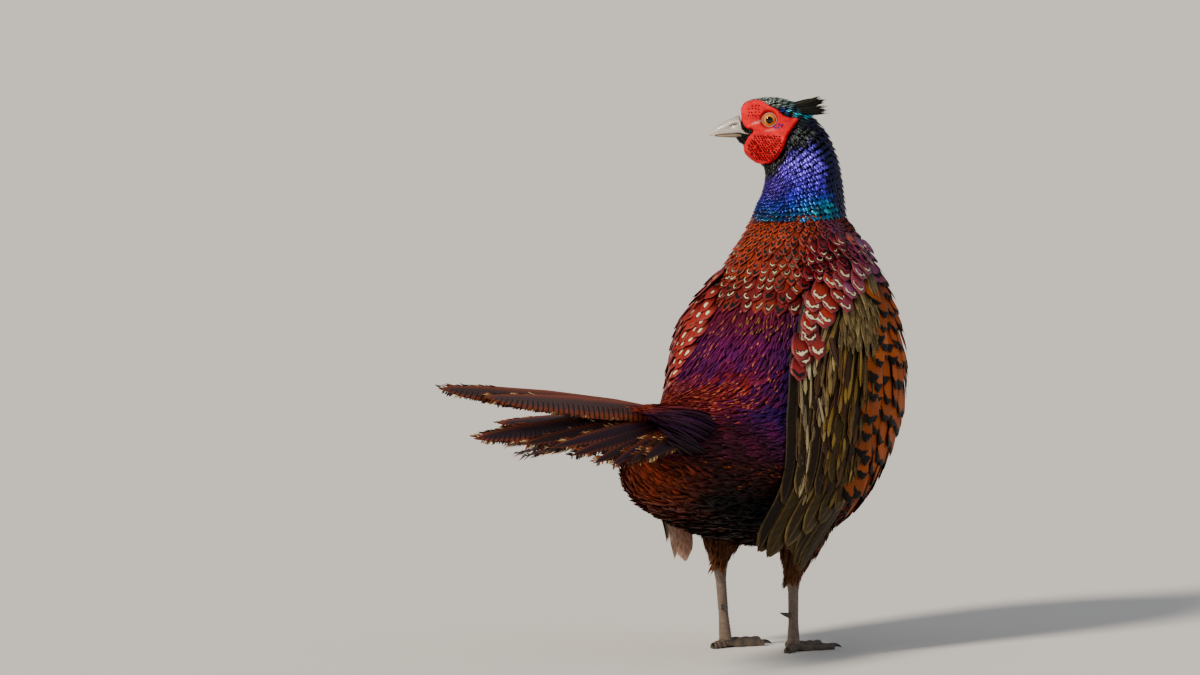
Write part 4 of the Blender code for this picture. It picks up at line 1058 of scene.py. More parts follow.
# Rows of tiny black feathers on the hanging lobe and brow, a violet row behind the eye, and the black chin
# tuft
def makeFaceFeathers():
    batches = []
    for side in (-1, 1):
        draw = default_rng(111 + side)
        lobe, brow = np.arange(-32.0, -12.0, 1.75), np.arange(4.0, 13.0, 2.6)
        spots = [
            (forward + 1.1 * (row % 2), rise)
            for row, rise in enumerate(lobe)
            for forward in np.arange(-8.5, 18.5, 2.2)
        ]
        spots = np.array(spots + [(forward, rise) for rise in brow for forward in np.arange(9.0, 20.0, 2.8)])
        spots = spots + draw.normal(0, 0.25, spots.shape)
        violet = np.stack([draw.uniform(-10.5, -3.0, 24), np.zeros(24)], -1)
        violet[:, 1] = -6.0 - 0.22 * (violet[:, 0] + 3) + draw.normal(0, 0.9, 24)
        flat = np.concatenate([spots, violet])
        kinds = np.where(np.arange(len(flat)) >= len(spots), 2, np.where(flat[:, 1] > 0, 0, 1))
        keep = insideBy(flat, wattleRim) > 2.0
        flat, kinds = flat[keep], kinds[keep]
        # the nearest point of the raised skin to each spot, and the skin's slope there
        place, angle = np.meshgrid(
            np.linspace(-0.2, 7.6, 200), np.linspace(6, 174, 200) * degree * side, indexing="ij",
        )
        point, normal = frameAt(*surfaces["head"], place, angle)
        height = wattleHeight(headFlat(point), np.full(place.shape, 5.0))
        skin = point + normal * height[..., None]
        normal = unit(np.cross(np.gradient(skin, axis=0), np.gradient(skin, axis=1))) * side
        normal = (normal * np.sign((normal @ headLeft) * side)[..., None]).reshape(-1, 3)
        table = headFlat(skin).reshape(-1, 2)
        nearest = np.array([np.argmin(((table - spot) ** 2).sum(axis=-1)) for spot in flat])
        root, normal = skin.reshape(-1, 3)[nearest], normal[nearest]
        aimed = unit(headForward * -0.75 + up * -0.65)
        aimed = unit(aimed - normal * (normal @ aimed)[:, None])
        steps = np.linspace(0, 1, 3)
        length = np.array([1.2, 1.7, 1.4])[kinds]
        line = (root + normal * 0.46)[:, None] + aimed[:, None] * (length[:, None] * steps)[..., None]
        half = np.array([0.42, 0.56, 0.30])[kinds][:, None] * np.array([0.8, 1.0, 0.45])
        bake = np.stack([0.25 + 0.5 * (side > 0) + flat[:, 0] * 0.004, 0.5 + flat[:, 1] * 0.01], -1)
        batch = vanes(line, normal[:, None], half, bake, {"columns": 3, "thick": 0.4, "fray": 0.0}, seed=113)
        tint = np.where((kinds == 2)[:, None], hexColour("#4A3C98"), hexColour("#0C0204"))
        paint(batch, tint, fringe=tint * 1.3, seed=114)
        batches.append(batch)
    draw = default_rng(115)
    number = 130
    forward = draw.uniform(19.5, 27.5, number)
    aside = draw.uniform(-1, 1, number)
    root = headPoint(forward, aside * 4.6, -15.2 - 0.2 * (27 - forward))
    aimed = unit(
        headForward * -0.62 - up * (0.72 + draw.normal(0, 0.1, (number, 1)))
            + headLeft * aside[:, None] * 0.18
    )
    steps = np.linspace(0, 1, 4)
    line = root[:, None] + aimed[:, None] * (draw.uniform(5.5, 8.5, number)[:, None] * steps)[..., None]
    outward = unit(headForward * 0.6 - up * 0.5 + headLeft * aside[:, None] * 0.9)
    bake = np.stack([0.45 + 0.05 * aside, 0.05 + 0.01 * (forward - 19)], -1)
    batch = vanes(
        line, outward[:, None], np.array([0.7, 0.9, 0.6, 0.15]), bake,
        {"columns": 2, "thick": 0.25, "fray": 0.0}, seed=116,
    )
    paint(batch, "#080606", fringe="#0C0A0C", seed=117)
    batches.append(batch)
    coatPiece("faceFeathers", "hair", batches)


makeFaceFeathers()

# Eye: a wet glossy ball whose front swells a little, amber iris and black pupil drawn by distance from its
# axis
eyeLook = {"lidRadius": 5.45, "lidThick": 0.55, "mapWidth": 14.0}


def axesOf(facing):
    across = unit(np.cross(up, facing))
    return across, np.cross(facing, across)


def makeEye(side, word):
    facing = headLeft * side
    across, rise = axesOf(facing)
    polar = np.linspace(0.02, math.pi - 0.02, 48)[:, None]
    turn = circle(48)[None]
    radius = eyeRadius - 0.05 + 0.3 * bell(polar, 0.45)
    flatX, flatY = radius * np.sin(polar) * np.cos(turn), radius * np.sin(polar) * np.sin(turn)
    deep = radius * np.cos(polar) + 0 * turn
    centre = headPoint(0.0, side * eyeReach, 0.0)
    rings = centre + flatX[..., None] * across + flatY[..., None] * rise + deep[..., None] * facing
    flat = np.stack([flatX, flatY], -1).reshape(-1, 2)
    flat = np.concatenate([flat, [[0, 0], [0, 0]]]) / eyeLook["mapWidth"] + 0.5
    flat[(deep.ravel() < 0).nonzero()[0]] = 0.02
    faces = tubeFaces(48, 48, flipped=True)
    eye = meshPiece("eyeBall" + word, withEnds(rings), faces, eyeMaterial, {"OFBake": flat, "iris": flat})
    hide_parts("eye_" + word.lower())


eyeMaterial, tree, shader = newMaterial(
    "amberEye", **{"Roughness": 0.12, "Specular IOR Level": 0.2, "Coat Weight": 0.6, "Coat Roughness": 0.03},
)
flat = add(tree, "UVMap iris")
radius = add(tree, "VectorMath DISTANCE", flat, (0.5, 0.5, 0.0)).outputs["Value"]
radius = add(tree, "Math MULTIPLY", radius, eyeLook["mapWidth"])
heading = add(tree, "VectorMath NORMALIZE", add(tree, "VectorMath SUBTRACT", flat, (0.5, 0.5, 0.0)))
colour = add(tree, "MixRGB", add(tree, "TexNoise", heading, Scale=9.0, Detail=4.0), "#D06A00", "#F8A808")
edges = ((4.4, 5.3, 0.0, 1.0, "#5A2A06"), (2.9, 3.4, 1.0, 0.0, "#8A4204"), (2.8, 3.0, 1.0, 0.0, "#030202"))
for *edge, tint in edges:  # the dark outer ring, the inner ring and the pupil
    colour = add(tree, "MixRGB", add(tree, "MapRange", radius, *edge), colour, tint)
finishMaterial(tree, shader, colour)


# Lids: a ring round the eye, drawn out to soft points before and behind, with fine wrinkles across it
def makeLid(side, word):
    facing = unit(headLeft * side + headForward * 0.10)
    across, rise = axesOf(facing)
    turn, tube = circle(96)[:, None], circle(16)[None]
    thick = eyeLook["lidThick"] * (1 + 0.10 * np.sin(turn * 30)) * (1 + 0.25 * np.sin(turn) ** 2)
    major = eyeLook["lidRadius"] + 0.45 * np.cos(turn) ** 8 + thick * np.cos(tube)
    deep = thick * 0.95 * np.sin(tube)
    centre = headPoint(0.0, side * (eyeReach + 3.5), 0.0)
    flatX, flatY = major * np.cos(turn), major * np.sin(turn)
    ring = centre + flatX[..., None] * across + flatY[..., None] * rise + deep[..., None] * facing
    shade = blend("#C08878", "#6A3434", ease(np.cos(tube) + 0 * turn, -0.2, -0.9)).reshape(-1, 3)
    faces = gridFaces(96, 16, wrapped=True, looped=True)
    maps = {"OFBake": gridMap(*wholeMap[:2], 96, 16)}
    lid = meshPiece("lid" + word, ring.reshape(-1, 3), [faces], lidMaterial, maps, {"ground": shade})


# Lid skin: soft, pale pink and finely grained
lidMaterial, tree, shader = newMaterial("palePinkLidSkin", Roughness=0.5)
noise = add(tree, "TexNoise", add(tree, "TexCoord").outputs["Object"], Scale=900.0, Detail=2.0)
mottle = add(tree, "MapRange", noise, 0.35, 0.7, 0.0, 0.5)
finishMaterial(
    tree, shader, add(tree, "MixRGB", mottle, add(tree, "Attribute ground"), "#A0605C"), noise, 0.4,
)

# Bill: rings along each mandible (forward, top, bottom, half width), with the nostril's slit and its flap
billLook = {
    "upper": (
        np.array(
            [
                [16.4, -11.0, -12.1, 14.4], [18.5, -9.6, -12.1, 14.0], [20.6, -8.0, -12.0, 12.9],
                [22.6, -5.2, -11.8, 11.0], [24.6, 2.4, -12.1, 7.6], [30.0, 0.8, -12.6, 5.6],
                [36.0, -2.2, -12.9, 4.5], [41.5, -5.2, -13.3, 3.3], [45.5, -8.6, -13.8, 2.2],
                [49.0, -12.0, -14.4, 0.8],
            ]
        ),
        0.86,
    ),
    "lower": (
        np.array(
            [
                [18.0, -12.0, -16.0, 6.0], [26.0, -12.1, -15.8, 4.9], [33.0, -12.5, -15.6, 3.7],
                [39.0, -13.0, -15.3, 2.6], [44.6, -13.7, -14.9, 1.1],
            ]
        ),
        0.22,
    ),
}


def makeBill(half):
    stations, topShare = billLook[half]
    rows = smoothRows(stations, np.linspace(0, len(stations) - 1, 60))
    angle = circle(48)[None]
    forward, top, bottom, wide = (rows[:, column][:, None] for column in range(4))
    middle = bottom + (top - bottom) * (1 - topShare)
    rise = middle + np.where(np.cos(angle) > 0, top - middle, middle - bottom) * np.cos(angle)
    left = wide * np.sign(np.sin(angle)) * np.abs(np.sin(angle)) ** 0.9
    if half == "upper":
        slit = (
            bell(forward - 29.5 + (rise + 4.8) * 0.8, 2.6) * bell(rise + 5.0 + (forward - 29.5) * 0.35, 0.9)
        )
        flap = bell(forward - 28.5, 3.4) * bell(rise + 2.6 + (forward - 28.5) * 0.35, 1.5)
        left = left - np.sign(left) * (1.5 * slit - 0.7 * flap)
    rings = headPoint(forward + 0 * angle, left, rise)
    pale, dark = ("#C2BAB2", "#85796F") if half == "upper" else ("#A09078", "#665848")
    tint = blend(dark, pale, ease(forward + 0 * angle, 16, 31))
    # painted shade: the nostril's slit darkened to near black
    if half == "upper":
        tint = blend(tint, "#241814", np.clip(slit * 1.4, 0, 1))
    bill = tubesPiece("bill" + half.capitalize(), billMaterial, [(rings, tint, True, *wholeMap)])
    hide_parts("bill_" + half)


# Horn: smooth and slightly waxy, with faint lengthwise growth lines
billMaterial, tree, shader = newMaterial("paleBillHorn", **{"Roughness": 0.38, "Coat Weight": 0.15})
spot = add(tree, "Mapping", add(tree, "TexCoord").outputs["Object"], Scale=(120.0, 120.0, 900.0))
noise = add(tree, "TexNoise", spot, Scale=1.0, Detail=3.0)
shade = add(tree, "MapRange", noise, 0.3, 0.7, 0.78, 1.1)
shade = add(tree, "CombineXYZ", shade, shade, shade)
finishMaterial(
    tree, shader, add(tree, "MixRGB MULTIPLY", 1.0, add(tree, "Attribute ground"), shade), noise, 0.2,
)

for side, word in ((1, "Left"), (-1, "Right")):
    makeEye(side, word)
    makeLid(side, word)
for half in ("upper", "lower"):
    makeBill(half)


# Ear tufts: narrow pointed feathers fanned from behind the crown
def makeEarTuft(side, word):
    draw = default_rng(121 + side)
    number = 70
    lock = draw.integers(0, 5, number)  # the feathers lie together in five locks
    share = np.clip((lock + 0.5) / 5 + draw.normal(0, 0.035, number), 0, 1)
    depth = draw.uniform(0, 1, number)
    root = headPoint(-13.0 - 7.0 * share - 3 * depth, side * (3.0 + 7.0 * share), 11.5 - 4.0 * share)
    reach = np.array([0.96, 1.10, 0.98, 1.12, 1.0])[lock] * (0.84 + 0.16 * draw.uniform(0, 1, number))
    tip = headPoint(
        -15.0 + (-27.0 - 5.5 * share) * reach,
        side * (3.0 + (5.0 + 6.0 * share) * reach + draw.normal(0, 0.5, number)),
        11.5 + (7.5 - 15.0 * share) * reach + draw.normal(0, 0.4, number),
    )
    steps = np.linspace(0, 1, 6)
    line = (
        root[:, None] + (tip - root)[:, None] * steps[None, :, None]
        + up * (-4.0 * steps * (1 - steps))[None, :, None]
    )
    along = unit(tip - root)
    normal = unit(np.cross(along, headLeft) * -1 + headLeft * side * 0.8 + draw.normal(0, 0.25, (number, 3)))
    half = 1.6 * np.interp(steps, [0, 0.3, 0.7, 1.0], [0.6, 1.0, 0.9, 0.12])
    bake = np.stack([0.1 + 0.8 * share, 0.1 + 0.8 * depth], -1)
    batch = vanes(line, normal[:, None], half, bake, {"columns": 3, "thick": 0.3, "fray": 0.05}, seed=122)
    # painted sheen: olive-brown on some feathers of the black tuft
    fleckAndSheen = draw.uniform(size=number)
    paint(
        batch, blend("#040405", "#3A342A", ease(fleckAndSheen, 0.6, 1.0)),
        fringe=blend("#050506", "#4A4028", (fleckAndSheen > 0.65) * 0.5), seed=123,
    )
    tuft = coatPiece("earTuft" + word, "hair", [batch])
    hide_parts("ear_tuft_" + word.lower())


makeEarTuft(1, "Left")
makeEarTuft(-1, "Right")
print("head made")

torsoSpan = ((-0.5, 16.5), (-math.pi, math.pi))
mantleLook = {
    "rows": 6, "columns": 7, "root": -3.5, "tip": 0.6, "profile": rounded, "camber": 0.12, "fray": 0.015,
    "round": 0.12, "thick": 0.3, "span": torsoSpan,
}


# How far round the sides the mantle reaches, in degrees, at each ring
def mantleEdge(place):
    return np.interp(place, [0.0, 1.6, 2.8, 3.8], [92, 84, 62, 58])


def makeMantle():
    draw = default_rng(31)
    gaps = ([-1, 0.6, 2, 3.7], [4.0, 5.2, 7.6, 10.0], [3.8, 4.8, 6.6, 8.4])
    u, v = layOut("torso", (-0.85, 3.7), (-92 * degree, 92 * degree), gaps, seed=32)
    keep = np.abs(v) / degree < mantleEdge(u)
    u, v = u[keep], v[keep]
    gap = np.interp(u, *gaps[:2])
    look = scatter(
        draw, u, mantleLook, length=gap * 2.4, half=gap * 0.66, tilt=(0, 0.1), lean=(0, 0.1), tip=(0.5, 0.3),
    )
    batch = featherCoat("torso", u, v, look, seed=33)
    roots = torsoSurface(u, v)
    ground = ramp(u, [-1, 0.6, 2.0, 3.7], "#A83810 #8C260A #7A160C #6A0E12")
    # painted light: the left side, turned to the light, brightened towards orange in both ground and fringe
    litLeftSide = ease(v / degree, 30, -34) * ease(u, 3.2, 0.8)
    ground = blend(ground, "#B84008", litLeftSide * 0.7)
    # painted sheen: lilac laid over the right side
    sheenRightSide = ease(v / degree, 44, 76)
    ground = blend(
        ground,
        "#7A4A8A", sheenRightSide * 0.75 * draw.uniform(0.3, 1, len(u)),
        "#C85010", ease(patches(roots, 30, 3), 0.3, 0.9) * 0.2,
    )
    fringe = blend(
        ramp(u, [-1, 1.2, 2.4, 3.8], "#6A1806 #70140C #70161C #641424"),
        "#A83408", litLeftSide * 0.7,
        ground, draw.uniform(0.2, 0.8, len(u)),
    )
    marking = (
        ease(u + draw.normal(0, 0.6, len(u)), 1.0, 2.5) * (draw.uniform(size=len(u)) < 0.62)
        * draw.uniform(0.6, 1.0, len(u))
    )
    paint(batch, ground, fringe=fringe, mark="#F6E8B8", marking=marking, seed=34, vary=0.14)
    coatPiece("mantleCoat", "mantle", [batch])


flankGaps = ([0, 2, 5, 10], [5.5, 10.0, 16.5, 17.5], [5.0, 10.0, 17.0, 17.5])
flankLook = {"spanU": (-0.7, 9.8), "spanV": (58, 181)}  # in rings, and in degrees from the back


def makeBreastAndFlank():
    draw = default_rng(41)
    batches = []
    for side in (-1, 1):
        edges = sorted(np.array(flankLook["spanV"]) * degree * side)
        u, v = layOut("torso", flankLook["spanU"], edges, flankGaps, seed=42 + side)
        keep = np.abs(v) / degree > np.interp(
            u, [0.0, 1.6, 2.8, 3.8, 5.0, 7.6, 9.0], [89, 81, 59, 57, 64, 68, 90],
        )
        u, v = u[keep], v[keep]
        gap = np.interp(u, *flankGaps[:2])
        look = scatter(
            draw, u, mantleLook, length=gap * 2.0, half=gap * 0.62, root=-4.5, tip=(0.3, 0.12), profile=broad,
            camber=0.04, tilt=(0, 0.06), lean=(0, 0.06),
        )
        batch = featherCoat("torso", u, v, look, seed=43)
        spread = np.abs(v) / degree
        ground = blend(
            ramp(u, [0, 1.5, 3.0, 6, 9.5], "#8A2A22 #A03C14 #AC4E0C #B4560C #8A400C"),
            "#7A2C06", draw.uniform(0, 0.5, len(u)),
        )
        # painted sheen: lilac over the upper breast and flank
        lilacSheen = ease(u, 0, 0.8) * ease(u, 2.8, 1.6) * ease(spread, 150, 110)
        ground = blend(
            ground,
            "#7A4E96", lilacSheen * draw.uniform(0.2, 0.9, len(u)),
            "#5A2412", ease(spread, 130, 170) * 0.7,
        )
        paint(batch, ground, fringe="#0A0A14", seed=44 + side, vary=0.12)
        batches.append(batch)
    coatPiece("breastAndFlankCoat", "flank", batches)


# The left wing's red scapulars lie on a sheet from the back out over the wing's rear edge; u runs down it, v
# runs from the back to that edge at 1 and round onto the wing's outer side at 2
def bridgeSurface(u, v):
    u, v = np.broadcast_arrays(np.asarray(u, float), np.asarray(v, float))
    row = 3.0 + 5.2 * u
    inner = torsoSurface(
        row, np.interp(row, [3.0, 3.6, 4.4, 5.2, 6, 7, 8.2], [-38, -26, -20, -21, -25, -31, -40]) * degree,
    )
    along = np.interp(row, [1.5, 3.0, 4, 5, 6, 7, 11.2], [-0.15, 0.0, 0.12, 0.22, 0.31, 0.385, 0.665])
    across = np.clip(0.98 - 0.43 * (v - 1), 0.5, 0.98)
    point = surfaces["left"][0](along, across)
    inward = np.clip(1 - v, 0, 1)[..., None]
    return (
        inner * inward + point * (1 - inward)
        + unit(np.array([-0.4, -0.85, 0.3])) * (0.4 + 7.0 * inward * (1 - inward)) * (inward > 0)
    )


surfaces["leftBridge"] = (bridgeSurface, -1)


def makeLeftScapulars():
    draw = default_rng(131)
    u, v = layOut("leftBridge", (-0.10, 0.86), (0.04, 1.8), ([0, 1], [7.4, 7.4], [9.0, 9.5]), seed=132)
    look = scatter(
        draw, u, mantleLook, rows=8, length=(20, 1.5), half=4.8, root=-2.5, tip=(1.4, 0.3), profile=rounded,
        lean=(0.16, 0.06), span=((-0.2, 1.1), (-0.1, 2.1)),
    )
    batch = featherCoat("leftBridge", u, v, look, seed=133)
    ground = blend("#941C16", "#A62C14", draw.uniform(size=len(u)))
    paint(
        batch, ground, fringe=blend("#8A1C2C", "#9A3020", draw.uniform(size=len(u))), mark="#F8ECC0",
        marking=1.0, seed=134, vary=0.1,
    )
    coatPiece("scapularsBackLeft", "teardrop", [batch])


makeLeftScapulars()

hairLook = {
    "rows": 5, "columns": 3, "root": -4.5, "tip": 0.8, "profile": pointed, "camber": 0.15, "fray": 0.10,
    "round": 0.05, "thick": 0.25, "span": torsoSpan,
}


def makeRump():
    draw = default_rng(51)
    u, v = layOut(
        "torso", (3.9, 15.6), (-86 * degree, 86 * degree), ([5, 15], [3.45, 3.6], [3.2, 3.5]), seed=52,
        jitter=0.3,
    )
    keep = np.abs(v) / degree < np.interp(u, [7.6, 9.0], [62, 87])
    u, v = u[keep], v[keep]
    look = scatter(
        draw, u, hairLook, length=18 + draw.normal(0, 2, len(u)) + np.interp(u, [5, 12], [0, 8]), half=2.0,
        tip=(0.6, 0.25), tilt=(0, 0.15), lean=(0, 0.12),
    )
    batch = featherCoat("torso", u, v, look, seed=53)
    roots = torsoSurface(u, v)
    turned = v / degree
    # painted shade: the right side, away from the light, darkened to indigo above and brown below, with fewer
    # pale flecks
    ground = blend(
        ramp(u, [4.3, 5.4, 9, 12, 14], "#5A0A2C #560850 #4A0A5A #400A44 #5A1410"),
        "#1C0850", ease(turned, 14, 40) * ease(u, 10.2, 8.2) * 0.9,
        "#3A0C12", ease(turned, 6, 44) * ease(u, 8.6, 11) * 0.9,
    )
    red = (
        ease(u + draw.normal(0, 0.6, len(u)) + ease(turned, -14, 16) * 0.6, 6.5, 8.0)
        * ease(turned + draw.normal(0, 7, len(u)), 40, 12) * ease(u, 12.8, 11.2)
    )
    ground = blend(
        ground,
        blend("#6A0E14", "#A02E12", draw.uniform(size=len(u))), red * 0.9,
        "#7A0C50", ease(patches(roots, 24, 7), 0.1, 0.8) * 0.35 * (1 - red),
    )
    fleckAndSheen = (
        draw.uniform(size=len(u)) < np.interp(turned, [-60, 0, 30, 45], [0.34, 0.40, 0.2, 0.0]) * (1 - red)
            * ease(patches(roots, 26, 21), -0.5, 0.7)
            + 0.45 * red
    )
    glow = blend("#E88848", "#C04850", draw.uniform(size=len(u)))
    frayed = (u < 4.9) & (turned > -4) & (turned < 34)
    glow[frayed] = hexColour("#9A6A2C")
    tip = blend(ground * 1.5, glow, (fleckAndSheen | (frayed & (draw.uniform(size=len(u)) < 0.5))) * 1.0)
    paint(batch, ground, fringe=tip, seed=54, vary=0.18)
    coatPiece("rumpCoat", "hair", [batch])


def makeBelly():
    draw = default_rng(61)
    batches = []
    for side in (-1, 1):
        edges = sorted(np.array((80, 181)) * degree * side)
        u, v = layOut(
            "torso", (9.2, 15.8), edges, ([9, 16], [4.45, 4.0], [4.2, 4.0]), seed=62 + side, jitter=0.3,
        )
        look = scatter(
            draw, u, hairLook, length=(26, 4), half=2.0, tip=(1.2, 0.7), tilt=(0, 0.3), lean=(0, 0.2),
        )
        batch = featherCoat("torso", u, v, look, seed=63)
        ground = ramp(u, [9, 10.5, 12.5, 13.6, 15.0], "#4A1A08 #2A0C06 #1C0806 #5A1C0A #8A300E")
        core = bell(np.abs(v) / degree - 125, 22) * ease(u, 9.6, 10.6) * ease(u, 14.2, 13.0)
        ground = blend(ground, "#080404", core, "#3A0C0A", ease(np.abs(v) / degree, 108, 88) * 0.8)
        tip = blend(
            ground,
            "#A0480F", ease(draw.uniform(size=len(u)) + ease(u, 13, 15) * 0.4 - core * 0.3, 0.76, 0.95),
        )
        paint(batch, ground, fringe=tip, seed=64 + side, vary=0.3)
        batches.append(batch)
    coatPiece("bellyCoat", "hair", batches)


def makeThighCoats():
    draw = default_rng(71)
    batches = []
    for side, where in ((-1, "leftThigh"), (1, "rightThigh")):
        u, v = layOut(
            where, (-0.05, 1.02), (0, 2 * math.pi), ([0, 1], [4.6, 3.0], [5.0, 3.6]), seed=72 + side,
            jitter=0.25,
        )
        look = scatter(
            draw, u, hairLook, length=(np.interp(u, [0, 1], [17, 9]), 1.5),
            half=np.interp(u, [0, 1], [2.4, 1.2]), root=-1.5, tip=(1.0, 0.6), tilt=(0, 0.3), lean=(0, 0.15),
            span=((-0.3, 1.3), (0, 2 * math.pi)),
        )
        batch = featherCoat(where, u, v, look, seed=73)
        ground = ramp(u, [0, 0.6, 1], "#1C0C06 #4A2410 #6A4020")
        tip = blend("#3A1A0A", "#8A5226", draw.uniform(size=len(u)))
        paint(batch, ground, fringe=tip, seed=74 + side, vary=0.2)
        batches.append(batch)
    coatPiece("thighCoat", "hair", batches)


makeMantle()
makeBreastAndFlank()
makeRump()
makeBelly()
makeThighCoats()

wingSpan = ((-0.1, 1.1), (-0.1, 1.15))


# Front edge of the hanging scapular flap, as a share across the wing at each place along it
def flapEdge(t):
    return np.interp(t, [-0.10, -0.04, 0.08, 0.20, 0.34, 0.42], [0.0, 0.08, 0.34, 0.66, 0.86, 1.0])


# Where the flap comes out from under the mantle, along the wing, at each share across it
def flapTop(b):
    return -0.10 + 0.13 * b


def makeWing(side):
    where = "right" if side > 0 else "left"
    draw = default_rng(81 + side)
    scale = 1.0 if side > 0 else 0.86
    flap = flapEdge if side > 0 else lambda t: np.interp(t, [-0.05, 0.1, 0.5, 0.66], [0.0, 0.05, 0.5, 1.1])
    flapEnd = 0.35 if side > 0 else 0.60
    base = {**mantleLook, "span": wingSpan, "thick": 0.3}
    red, dull, quills = [], [], []
    # a closed body under the feathers, from the sheet's own surface
    alongs, acrosses = np.linspace(-0.02, 0.62, 24), np.linspace(0.02, 0.98, 14)
    point, normal = frameAt(*surfaces[where], alongs[:, None], acrosses[None])
    loop = np.concatenate([point - normal * 3.0, (point - normal * 16.0)[:, ::-1]], axis=1)
    core = tubesPiece(
        "wingCore" + where.capitalize(), skinMaterial, [(loop, hexColour("#2A120C"), side > 0, *wholeMap)],
    )
    # flight feathers: secondaries and tertials over the primaries
    tiers = (
        # number, along at root and at tip, across at root and at tip, half width, depth, height, ground,
        # straw
        (7, (0.36, 0.40), (1.02, 0.94), (0.02, 0.40), (0.04, 0.66), 8.5, -5.5, -3.0, "#20140A", 0.5),
        (6, (0.34, 0.30), (0.84, 0.98), (0.10, 0.94), (0.16, 1.00), 10.5, -4.6, 0.6, "#241606", 0.7),
        (8, (0.30, 0.26), (0.70, 0.80), (0.05, 0.97), (0.07, 1.02), 9.0, -3.8, 1.2, "#1E0A06", 0.45),
    )
    for tier, (number, rootT, tipT, rootB, tipB, half, depth, height, tint, straw) in enumerate(tiers):
        share = np.linspace(0, 1, number)
        t0 = np.interp(share, [0, 1], rootT)
        t1 = np.interp(share, [0, 1], tipT) + draw.normal(0, 0.012, number)
        b0, b1 = np.interp(share, [0, 1], rootB), np.interp(share, [0, 1], tipB)
        steps = np.linspace(0, 1, 26)
        t = t0[:, None] + (t1 - t0)[:, None] * steps
        b = b0[:, None] + (b1 - b0)[:, None] * steps
        point, normal = frameAt(*surfaces[where], t, b)
        rise = depth + (height - depth) * steps**0.7
        line = point + normal * rise[None, :, None]
        profile = np.interp(steps, [0, 0.15, 0.5, 0.9, 0.96, 1.0], [0.4, 0.75, 1.0, 1.0, 0.88, 0.52])
        bake = np.stack([np.interp(b0, wingSpan[1], [0, 1]), np.interp(t0, wingSpan[0], [0, 1])], -1)
        look = {
            "columns": 9, "tilt": 0.16 * side, "camber": 0.10, "fray": 0.004, "round": 0.022,
            "roundFrom": 0.9, "thick": 0.4, "share": steps,
        }
        batch = vanes(line, normal, half * scale * profile, bake, look, seed=85 + tier)
        ground = blend(
            blend(tint, "#4A3A14", draw.uniform(0, 0.7, number)), "#140A06", ease(b1, 0.8, 0.96) * 0.8,
        )
        mark = blend("#6A5830", "#4A3A1C", draw.uniform(size=number))
        # the left wing's lowest quills: pale pink, brightened past their own colour to stand in for sunlight,
        # partly painted light
        if side < 0 and tier == 0:
            ground, mark = blend("#F0AC92", "#F8D0B8", draw.uniform(size=number)), hexColour("#FCE4D2")
        paint(batch, ground, fringe=mark, mark=mark, marking=straw, seed=86 + tier, vary=0.12)
        quills.append(batch)
    # coverts: greater and median rows, narrow and streaked
    u, v = layOut(where, (0.17, 0.66), (0.02, 1.0), ([0, 1], [7.7, 7.7], [12.5, 14.5]), seed=91)
    keep = (u > 0.25) | (v > 0.52) if side > 0 else (u > np.interp(v, [0.5, 0.6], [0.25, 0.38]))
    u, v = u[keep], v[keep]
    look = {
        **base, "rows": 8, "length": 42 * scale + draw.normal(0, 4, len(u)),
        "half": (4.6 - 1.6 * ease(v, 0.4, 0.8) + draw.normal(0, 0.5, len(u))) * scale, "root": -3.0,
        "tip": 1.8 + draw.normal(0, 0.6, len(u)), "tilt": 0.14 * side, "profile": stroked, "fray": 0.03,
        "lean": np.minimum(
            draw.normal(0.05, 0.10, len(u)) * (1 + 0.8 * ease(v, 0.4, 0.8)), 0.3 - 0.32 * ease(v, 0.6, 0.95),
        ),
    }
    batch = featherCoat(where, u, v, look, seed=92)
    ground = blend("#220608", "#321208", draw.uniform(size=len(u)))
    straw = blend(
        blend("#A8863A", "#78601C", draw.uniform(size=len(u))),
        "#C8BE98", ease(v, 0.5, 0.95) * draw.uniform(0.2, 1.0, len(u)),
    )
    paint(
        batch, ground, fringe=blend(ground, straw, 0.3), mark=straw,
        marking=ease(draw.uniform(size=len(u)), 0.0, 0.9), seed=93, vary=0.15,
    )
    dull.append(batch)
    # lesser coverts: soft olive-buff, ahead of the flap
    u, v = layOut(where, (0.0, 0.25), (0.0, 1.0), ([0, 1], [4.4, 4.4], [6.5, 7.0]), seed=94)
    keep = v < np.minimum(flap(u) + 0.04, 0.60 if side > 0 else 1.0)
    u, v = u[keep], v[keep]
    look = scatter(
        draw, u, base, rows=5, columns=5, length=(23 * scale, 2.5), half=2.9 * scale, root=-2.8,
        tip=(1.6, 0.3), fray=0.12, profile=blunt, lean=(0.03, 0.10),
    )
    batch = featherCoat(where, u, v, look, seed=95)
    ground = blend(
        "#8A744A",
        "#54401E", draw.uniform(size=len(u)),
        "#241408", ease(u, 0.16, 0.26) * draw.uniform(0.2, 1.0, len(u)),
    )
    paint(
        batch, ground, fringe=blend(ground, "#A0946A", draw.uniform(0.0, 0.6, len(u))), mark="#A89668",
        marking=0.3 * draw.uniform(size=len(u)), seed=96, vary=0.12,
    )
    dull.append(batch)
